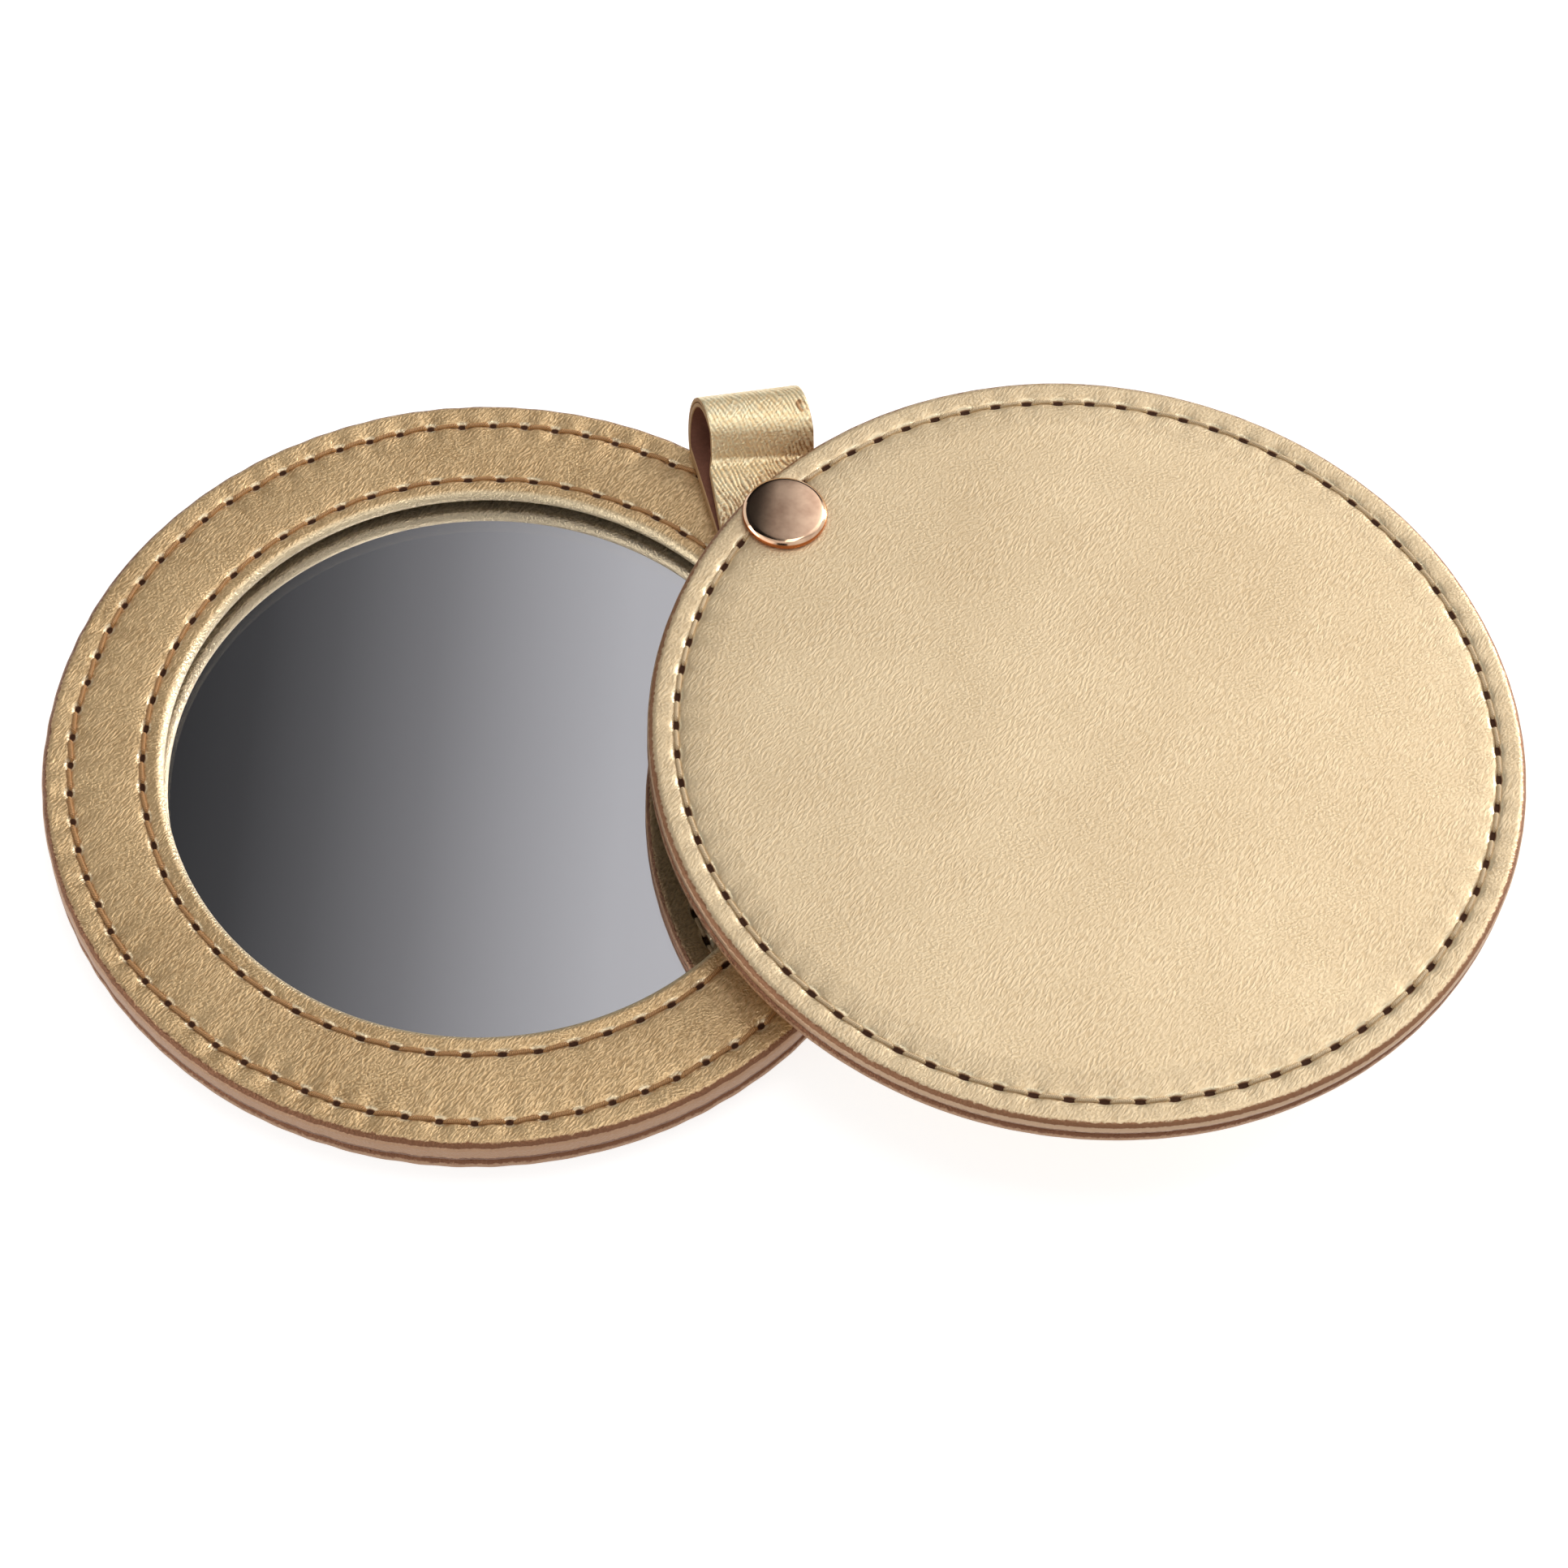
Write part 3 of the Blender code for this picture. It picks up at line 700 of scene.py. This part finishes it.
# %% [markdown]
# ## Sewing thread
#
# A lockstitch comes up at a hole, lies in the groove to the next hole, and goes down again. The
# hole stays open between two stitches, and it is what the eye sees first, so each stitch is its
# own short tube that dives steeply at both ends. Each one slants a little, because the needle
# twists it. The shader adds the turns of its plies.


# %% Thread material
def thread_material(name, pale, deep):
    """Twisted thread: diagonal plies from a wave along the tube's own coordinates."""
    material, tree, shader = new_paint(name, Roughness=0.55, Specular_IOR_Level=0.4)
    along = add_node(tree, "UVMap", uv_map="thread_uv").outputs[0]
    wave = add_node(tree, "TexWave", wave_type="BANDS", bands_direction="DIAGONAL")
    plies = set_inputs(wave, Vector=along, Scale=1.0, Distortion=0.6, Detail=1.0).outputs["Fac"]
    set_inputs(shader, Base_Color=mixed(tree, plies, deep, pale),
               Normal=bumped(tree, plies, 0.8, 0.00003))
    return material


tan_thread = thread_material("tan_thread", pale=(0.64, 0.35, 0.13), deep=(0.34, 0.15, 0.05))
honey_thread = thread_material("honey_thread", pale=(0.84, 0.64, 0.40), deep=(0.62, 0.44, 0.24))
print("threads", tan_thread.name, honey_thread.name)

# %% Thread builder
tube_sides = 8
tube_stations = np.array([0.12, 0.135, 0.155, 0.18, 0.215, 0.27, 0.37, 0.5, 0.63, 0.73, 0.785, 0.82,
                          0.845, 0.865, 0.88])
dive_share = 0.10
dive_depth = 0.50
dive_thinning = 0.30
plies_along, plies_round = 4.0, 2.0


def sewn_thread(name, seam, face, thickness, lie, material):
    """One closed tube per stitch, from hole to hole."""
    centre, azimuth, face_height, facing = face
    stitches = seam["holes"] - 2 * len(seam["skip"])
    start = seam["start"]
    first_station, last_station = tube_stations[0], tube_stations[-1]
    part = (tube_stations - first_station) / (last_station - first_station)
    part = start + part * (1 - 2 * start)
    dive = 1 - ease(start, start + dive_share, np.minimum(part, 1 - part))
    verts, faces, lengths, round_at = [], [], [], []
    for stitch in range(stitches):
        path = stitch + part
        depth = (lie + 0.03 * varied(stitch, 21)) * (1 - dive) + dive_depth * dive
        twist = seam["slant"] * (0.5 - part) * (1 + 0.5 * varied(stitch, 23))
        radius = seam["radius"] + twist + seam_wander(path, seam)
        angle = seam["phase"] + path * math.tau / seam["holes"] + azimuth
        points = np.stack([centre[0] + radius * np.cos(angle), centre[1] + radius * np.sin(angle),
                           face_height - facing * depth], axis=1)
        ahead = np.gradient(points, axis=0)
        ahead /= np.linalg.norm(ahead, axis=1)[:, None]
        outward = np.stack([np.cos(angle), np.sin(angle), np.zeros_like(angle)], axis=1)
        up = np.cross(ahead, outward)
        up /= np.linalg.norm(up, axis=1)[:, None]
        side = np.cross(up, ahead)
        steps = np.linalg.norm(np.diff(points, axis=0), axis=1)
        length = np.concatenate([[0], np.cumsum(steps)])
        first = len(verts)
        for i, point in enumerate(points):
            girth = thickness * (1.0 - dive_thinning * dive[i])
            for j in range(tube_sides):
                a = math.tau * j / tube_sides
                verts.append(point + girth * (math.cos(a) * side[i] + math.sin(a) * up[i]))
                lengths.append(length[i])
                round_at.append(j / tube_sides)
        for a in range(first, len(verts) - tube_sides, tube_sides):
            for j in range(tube_sides):
                k = (j + 1) % tube_sides
                faces.append((a + j, a + tube_sides + j, a + tube_sides + k, a + k))
        faces.append(range(first, first + tube_sides))
        faces.append(range(len(verts) - tube_sides, len(verts))[::-1])
    thread = new_piece(name, (np.array(verts) * mm).tolist(), faces, material)
    mesh = thread.data
    corner = np.zeros(len(mesh.loops), np.int64)
    mesh.loops.foreach_get("vertex_index", corner)
    coords = np.stack([np.array(lengths)[corner] * plies_along,
                       np.array(round_at)[corner] * plies_round], axis=1)
    coords = coords.reshape(-1).astype(np.float32)
    mesh.uv_layers.new(name="thread_uv").data.foreach_set("uv", coords)
    return thread


# %% Five seams: name, plan, face, thickness, depth it lies at, material, body, packed thread
for name, plan, face, thickness, lie, material, body, node in (
        ("cover_stitches", cover_plan, cover_face, 0.19, 0.14, honey_thread,
         "cover", "cover_needle_thread"),
        ("lining_stitches", cover_plan, lining_face, 0.19, 0.23, honey_thread,
         "cover", "cover_bobbin_thread"),
        ("rim_stitches", rim_plan, ring_face, 0.19, 0.15, tan_thread,
         "base", "rim_needle_thread"),
        ("back_stitches", rim_plan, back_face, 0.19, 0.24, tan_thread,
         "base", "rim_bobbin_thread"),
        ("window_stitches", window_plan, ring_face, 0.18, 0.15, tan_thread,
         "base", "window_needle_thread")):
    thread = sewn_thread(name, plan, face, thickness, lie, material)
    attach(thread, body)
    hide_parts(node)
    print(name, len(thread.data.vertices), "points")

# %% [markdown]
# ## Mirror
#
# A pocket mirror is silvered on its back, so what it shows starts a glass thickness below its
# face, and a dark line runs between the ring's roll and the roll's reflection. That needs real
# glass over a real silver layer. A single shiny disc would bring the reflection up to the roll.


# %% Turned pieces
def turned_piece(name, section, centre, steps, material):
    """Revolve (radius, height) points in millimetres round a vertical axis, closed at the axis."""
    verts = [(*centre, section[0][1])]
    for i in range(steps):
        a = math.tau * i / steps
        verts += [(centre[0] + r * math.cos(a), centre[1] + r * math.sin(a), z)
                  for r, z in section[1:-1]]
    verts.append((*centre, section[-1][1]))
    count = len(section) - 2
    faces = []
    for i in range(steps):
        a, b = 1 + i * count, 1 + ((i + 1) % steps) * count
        faces.append((0, a, b))
        faces += [(a + j, a + j + 1, b + j + 1, b + j) for j in range(count - 1)]
        faces.append((a + count - 1, len(verts) - 1, b + count - 1))
    piece = new_piece(name, (np.array(verts) * mm).tolist(), faces, material)
    piece.data.set_sharp_from_angle(angle=math.radians(35))
    return piece


# %% Glass and silver materials
clear_glass, tree, shader = new_paint("clear_glass", Base_Color=(0.985, 0.985, 0.985), IOR=1.5,
                                      Transmission_Weight=1.0)
smears = noise_node(tree, object_place(tree), 60.0, 3.0, distortion=1.5)
set_inputs(shader, Roughness=ranged(tree, smears, 0.45, 0.8, 0.0, 0.03))

silver, tree, shader = new_paint("silver_layer", Metallic=1.0, Roughness=0.015)
clouds = noise_node(tree, object_place(tree), 35.0, 2.0)
set_inputs(shader, Base_Color=mixed(tree, clouds, (0.91, 0.91, 0.925), (0.95, 0.95, 0.965)))

# %% Glass plate over its silver
glass_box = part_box("mirror_glass")
glass_low = glass_box[0].z / mm
top_gap, side_gap, film = 0.02, 0.1, 0.01
glass_high = glass_box[1].z / mm - top_gap
glass_radius = glass_box[1].x / mm - side_gap
bevel = 0.15
silver_rise = 0.06
silver_top = glass_low + silver_rise
silver_bottom = glass_low + film
glass_floor = silver_top + film
turning_steps = 128
silver_layer = turned_piece("silver_layer", [
    (0, silver_top), (glass_radius, silver_top), (glass_radius, silver_bottom),
    (0, silver_bottom)], base_centre, turning_steps, silver)
glass_plate = turned_piece("glass_plate", [
    (0, glass_high), (glass_radius - bevel, glass_high), (glass_radius, glass_high - bevel),
    (glass_radius, glass_floor + bevel), (glass_radius - bevel, glass_floor),
    (0, glass_floor)], base_centre, turning_steps, clear_glass)
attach(silver_layer, "base")
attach(glass_plate, "base")
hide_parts("mirror_glass")
print("glass", round(glass_low, 2), "to", round(glass_high, 2))

# %% [markdown]
# ## Rivet
#
# The cap is a thin plated dome, rolled under at its rim. It is polished, so its look is mostly
# reflection: dark on the left, bright at the right. The red-brown on its steep rim is a painted
# reflection of the leatherette. Its crown bends a little everywhere and much more near the rim,
# which is what a press does to thin sheet. Faint blotches from handling keep the polish from
# looking perfect.


# %% Plated metal
def plated(name, pale, deep, steep_reflection, roughness, blotch_scale):
    """Polished plating with faint handling marks, and a painted reflection in another colour where
    it is steep.
    """
    material, tree, shader = new_paint(name, Metallic=1.0)
    blotch = noise_node(tree, object_place(tree), blotch_scale, 3.0, 0.6)
    blotch = ranged(tree, blotch, 0.35, 0.65)
    normal = add_node(tree, "NewGeometry").outputs["Normal"]
    upright = set_inputs(add_node(tree, "SeparateXYZ"), Vector=normal).outputs["Z"]
    # Painted reflection: where the metal is steep, its colour turns to another one.
    steep = ranged(tree, upright, 0.61, 0.52)
    set_inputs(shader, Base_Color=mixed(tree, steep, mixed(tree, blotch, deep, pale), steep_reflection),
               Roughness=ranged(tree, blotch, 0.0, 1.0, roughness + 0.05, roughness - 0.03))
    return material


rose_metal = plated("rose_metal", pale=(0.74, 0.51, 0.345), deep=(0.49, 0.305, 0.20),
                    steep_reflection=(0.42, 0.145, 0.05), roughness=0.105, blotch_scale=430.0)
steel = plated("plated_steel", pale=(0.60, 0.56, 0.52), deep=(0.48, 0.44, 0.40),
               steep_reflection=(0.40, 0.35, 0.30), roughness=0.28, blotch_scale=700.0)


# %% Measure of a packed round piece
def packed_size(node):
    """Its lowest and highest height and its radius, in millimetres."""
    low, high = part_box(node)
    return low.z / mm, high.z / mm, (high.x - low.x) / mm / 2


# %% Cap: its shoulder as arcs of (slope from, slope to, bend radius), its rim as (inset, rise)
shoulder_arcs = [(10, 43, 0.72), (43, 52, 1.40), (52, 88, 0.42)]
rolled_rim = [(0.0, 0.16), (0.05, 0.09), (0.2, 0.015), (0.4, 0.0)]
crown_steps, arc_steps = 12, 7
cap_low, cap_high, cap_radius = packed_size("rivet_cap")
cap_radius -= 0.01
shoulder_width = sum(bend * (math.sin(math.radians(end)) - math.sin(math.radians(start)))
                     for start, end, bend in shoulder_arcs)
crown_radius = cap_radius - shoulder_width
crown_drop = crown_radius * math.tan(math.radians(shoulder_arcs[0][0])) / 2
cap_section = [(crown_radius * i / crown_steps, cap_high - crown_drop * (i / crown_steps) ** 2)
               for i in range(crown_steps + 1)]
for start, end, bend in shoulder_arcs:
    from_radius, from_height = cap_section[-1]
    flat = math.radians(start)
    for i in range(1, arc_steps + 1):
        tilt = math.radians(start + (end - start) * i / arc_steps)
        cap_section.append((from_radius + bend * (math.sin(tilt) - math.sin(flat)),
                            from_height - bend * (math.cos(flat) - math.cos(tilt))))
print("cap wall starts", round(cap_section[-1][1] - cap_low, 2), "above its foot")
cap_section += [(cap_radius - inset, cap_low + rise) for inset, rise in rolled_rim]
cap_section.append((0, cap_low))
rivet_dome = turned_piece("rivet_dome", cap_section, rivet_centre, turning_steps, rose_metal)
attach(rivet_dome, "base")
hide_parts("rivet_cap")

# %% Head and post, with the head's rim as (inset, rise)
post_radius, post_chamfer = 1.1, 0.1
head_rim = [(0.0, 0.5), (0.0, 0.15), (0.08, 0.04), (0.25, 0.0)]
dish_share, dish_edge, dish_rise = 0.6, 0.05, 0.06
head_low, post_top, head_radius = packed_size("rivet_post")
head_section = [(0, post_top), (post_radius - post_chamfer, post_top),
                (post_radius, post_top - post_chamfer), (post_radius, head_low + head_rim[0][1])]
head_section += [(head_radius - inset, head_low + rise) for inset, rise in head_rim]
head_section += [(head_radius * dish_share, head_low + dish_edge), (0, head_low + dish_rise)]
rivet_foot = turned_piece("rivet_foot", head_section, rivet_centre, turning_steps // 2, steel)
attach(rivet_foot, "base")
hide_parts("rivet_post")
print("cap radius", round(cap_radius, 2), "head radius", round(head_radius, 2))

# %% [markdown]
# ## Strap
#
# The strap is two layers glued back to back, leatherette outside and a brown backing inside. It
# leaves the rivet, bends back over itself and returns, and the two legs lie a few degrees apart,
# so the loop is slightly twisted. It is swept along the same mid-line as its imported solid, with
# many more steps. The thin sheet buckles into slanting creases where it bends, and they cross
# near the rivet, where it is squeezed.

# %% Strap path
strap_width = 9.4
strap_offset = 0.75
strap_azimuth = math.radians(103.5)
leg_skew = 4.0
fold_radius = 2.4
fold_reach = 12.3
lift_radius = 1.2
lift_angle = 60.0
strap_tail = 5.0
pinch_reach = 4.0
lower_leg, upper_leg = 4.95, 6.05
half_thickness = 0.45
face_layer = 0.45
glue_line = 0.03


def strap_midline():
    """Reach, height and heading along the strap, from the lower tail to the upper one."""
    path = [(s, lower_leg, 0.0) for s in np.linspace(-strap_tail, fold_reach, 40)]
    fold_height = lower_leg + fold_radius
    for heading in np.linspace(0, 180 + lift_angle, 100)[1:]:
        a = math.radians(heading)
        path.append((fold_reach + fold_radius * math.sin(a),
                     fold_height - fold_radius * math.cos(a), heading))
    lift = math.radians(lift_angle)
    end_reach, end_height = path[-1][:2]
    drop = end_height - upper_leg - lift_radius * (1 - math.cos(lift))
    run = drop / math.tan(lift)
    flat_reach = end_reach - run - lift_radius * math.sin(lift)
    for t in np.linspace(0, 1, 18)[1:-1]:
        path.append((end_reach - run * t, end_height - drop * t, 180 + lift_angle))
    for t in np.linspace(0, 1, 18):
        a = lift * (1 - t)
        path.append((flat_reach + lift_radius * math.sin(a),
                     upper_leg + lift_radius * (1 - math.cos(a)), 180 + math.degrees(a)))
    path += [(s, upper_leg, 180.0) for s in np.linspace(flat_reach, pinch_reach, 26)[1:]]
    path += [(s, upper_leg, 180.0) for s in np.linspace(pinch_reach, -strap_tail, 20)[1:]]
    return np.array(path)


def strap_point(reach, height, heading, across, out):
    """A place on the strap: across its width and out from its mid-line, in millimetres."""
    skew = math.radians(max(leg_skew * (1 - 2 * heading / (180 + lift_angle)), -leg_skew))
    tilt = math.radians(heading)
    s = reach + out * math.sin(tilt)
    side = across + strap_offset
    x = s * math.cos(skew) - side * math.sin(skew)
    y = s * math.sin(skew) + side * math.cos(skew)
    return (rivet_centre[0] + x * math.cos(strap_azimuth) - y * math.sin(strap_azimuth),
            rivet_centre[1] + x * math.sin(strap_azimuth) + y * math.cos(strap_azimuth),
            height - out * math.cos(tilt))


# %% Creases, painted shade, a needle mark and a darker crest, in millimetres from the lower tail and from the strap's middle
crease_pitch = 0.41
upper_from = 120
squeeze_from, squeeze_width = 25.5, 5.0
crest_heading, crest_width = 122, 11
pinch_width = 2.4
mark_at, mark_radius, mark_width = (25.45, -4.15), 0.44, 0.13
lip_rub, mark_rub, crest_darkening, pinch_shade = 0.9, 0.34, 0.42, 0.25
crease_shade, pinched_shade = 3.2, 8.0


def crease_depth(gone, across, heading):
    """How far a crease sinks at a place on the strap's outer side."""
    visible = 1.0 if heading > upper_from else 0.3
    squeezed = min(1.0, max(0.0, (gone - squeeze_from) / squeeze_width))
    wobble = noise.noise(Vector((across * 0.9, gone * 0.5, 1.7)))
    broken = 0.5 + 0.5 * noise.noise(Vector((across * 1.1, gone * 0.8, 4.1)))
    broad = noise.noise(Vector((across * 0.5, gone * 0.5, 8.3)))
    slanted = math.tau * ((0.93 * across + 0.36 * gone) / crease_pitch + 0.85 * wobble)
    crossed = math.tau * ((0.80 * across - 0.60 * gone) / crease_pitch + 0.9 * wobble)
    slanted, crossed = 0.5 + 0.5 * math.sin(slanted), 0.5 + 0.5 * math.sin(crossed)
    share = min(1.0, max(0.0, 0.22 * squeezed + 0.5 * broad))
    return visible * ((0.040 + 0.030 * squeezed) * slanted ** 2 * (0.4 + broken)
                      + 0.050 * share * crossed ** 2)


def strap_wear_and_shade(place, gone, across, heading, sunk, outside):
    """Painted shade in the creases and beside the cover's edge, a brown needle mark, and a darker
    band along the crest.
    """
    clear = math.hypot(place[0] - cover_centre[0], place[1] - cover_centre[1]) - disc_radius
    pinched = bell(max(0.0, clear), pinch_width) if heading > upper_from else 0.0
    from_mark = math.hypot(gone - mark_at[0], across - mark_at[1])
    lip = ease(-0.15, 0.35, across - mark_at[1]) * bell(from_mark - mark_radius, mark_width)
    mark = lip_rub * lip + mark_rub * (1 - ease(0.3, 0.6, from_mark))
    crest = crest_darkening * bell(heading - crest_heading, crest_width) if outside else 0.0
    # Painted shade: crease bottoms go brown, more so in the pinch beside the cover.
    creased = sunk * (crease_shade + pinched_shade * pinched)
    return min(1.0, max(pinch_shade * pinched + creased, mark, crest))


# %% Layer builder: ring points are (across, out, 1 outside, 0 cut edge or 2 inside)
strap_gap = 0.02


def strap_layer(name, inner, outer, creased, edge_roll, material, edge_material):
    """Sweep one layer as a closed sheet with rounded edges and creases on its outer side."""
    path = strap_midline()
    gone = np.concatenate([[0], np.cumsum(np.hypot(np.diff(path[:, 0]), np.diff(path[:, 1])))])
    half = strap_width / 2 - strap_gap
    face_points = np.linspace(-half + edge_roll, half - edge_roll, 124 if creased else 20)
    corner = [(half - edge_roll * 0.3, outer - edge_roll * 0.12, 1),
              (half, outer - edge_roll * 0.6, 0), (half, inner + edge_roll * 0.5, 0)]
    ring = [(a, outer, 1) for a in face_points] + corner
    ring += [(a, inner, 2) for a in face_points[::-4]]
    ring += [(-across, out, kind) for across, out, kind in corner[::-1]]
    verts, shade = [], []
    for distance, (reach, height, heading) in zip(gone, path):
        for across, out, kind in ring:
            sunk = crease_depth(distance, across, heading) if kind == 1 and creased else 0.0
            place = strap_point(reach, height, heading, across, out - sunk)
            verts.append(place)
            shade.append(strap_wear_and_shade(place, distance, across, heading, sunk, kind == 1))
    count = len(ring)
    faces, kinds = [], []
    for a in range(0, len(verts) - count, count):
        for j in range(count):
            k = (j + 1) % count
            faces.append((a + j, a + k, a + count + k, a + count + j))
            kinds.append(1 if ring[j][2] == 0 or ring[k][2] == 0 else 0)
    faces.append(range(count)[::-1])
    faces.append(range(len(verts) - count, len(verts)))
    kinds += [1, 1]
    layer = new_piece(name, (np.array(verts) * mm).tolist(), faces, material, edge_material)
    layer.data.polygons.foreach_set("material_index", kinds)
    layer.data.set_sharp_from_angle(angle=math.radians(60))
    wear_and_shade = layer.data.attributes.new("wear_and_shade_mask", "FLOAT", "POINT")
    wear_and_shade.data.foreach_set("value", np.array(shade, np.float32))
    print(name, "length", round(float(gone[-1]), 1), "points", len(verts))
    return layer


# %% Fibrous stock: card, foam, backing and cut edges
def plain_fibre(name, pale, deep, roughness, scale, depth):
    """Matt stock with a fibrous mottle."""
    material, tree, shader = new_paint(name, Roughness=roughness, Specular_IOR_Level=0.25)
    fibres = noise_node(tree, object_place(tree), scale, 5.0, 0.65, 0.8)
    set_inputs(shader, Base_Color=mixed(tree, fibres, deep, pale),
               Normal=bumped(tree, fibres, 0.7, depth))
    return material


cut_edge = plain_fibre("cut_edge", pale=(0.60, 0.38, 0.19), deep=(0.38, 0.21, 0.09),
                       roughness=0.6, scale=3000.0, depth=0.00004)
brown_backing = plain_fibre("brown_backing", pale=(0.26, 0.10, 0.058), deep=(0.13, 0.045, 0.025),
                            roughness=0.75, scale=2500.0, depth=0.00005)
grey_card = plain_fibre("grey_card", pale=(0.36, 0.33, 0.28), deep=(0.24, 0.22, 0.19),
                        roughness=0.9, scale=1800.0, depth=0.00003)
white_foam = plain_fibre("white_foam", pale=(0.78, 0.78, 0.76), deep=(0.66, 0.66, 0.63),
                         roughness=0.95, scale=2600.0, depth=0.00006)

# %% Both layers of the strap
face_inner = half_thickness - face_layer
strap_face = strap_layer("strap_loop_face", face_inner, half_thickness, True, 0.16,
                         lit_strap_foil, cut_edge)
strap_back = strap_layer("strap_loop_backing", -half_thickness, face_inner - glue_line, False, 0.1,
                         brown_backing, cut_edge)
for layer, node, slot in ((strap_face, "strap_face", "champagne_leatherette"),
                          (strap_back, "strap_backing", "brown_backing")):
    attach(layer, "strap")
    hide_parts(node)

# %% [markdown]
# ## Hidden layers
#
# Cards, foam and the rivet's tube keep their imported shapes, since nothing of them shows but a
# sliver at a seam. They still get their own stock as a material, so a cut or a close view finds
# card and foam there and not a blank.

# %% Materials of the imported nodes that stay
for node, material in (("back_board", grey_card), ("spacer_ring", grey_card),
                       ("ring_board", grey_card), ("cover_board", grey_card),
                       ("lining_board", grey_card), ("glass_pad", white_foam),
                       ("cover_infill", white_foam), ("rivet_socket", steel)):
    nodes[node].data.materials.clear()
    nodes[node].data.materials.append(material)
    print(node, "->", material.name)
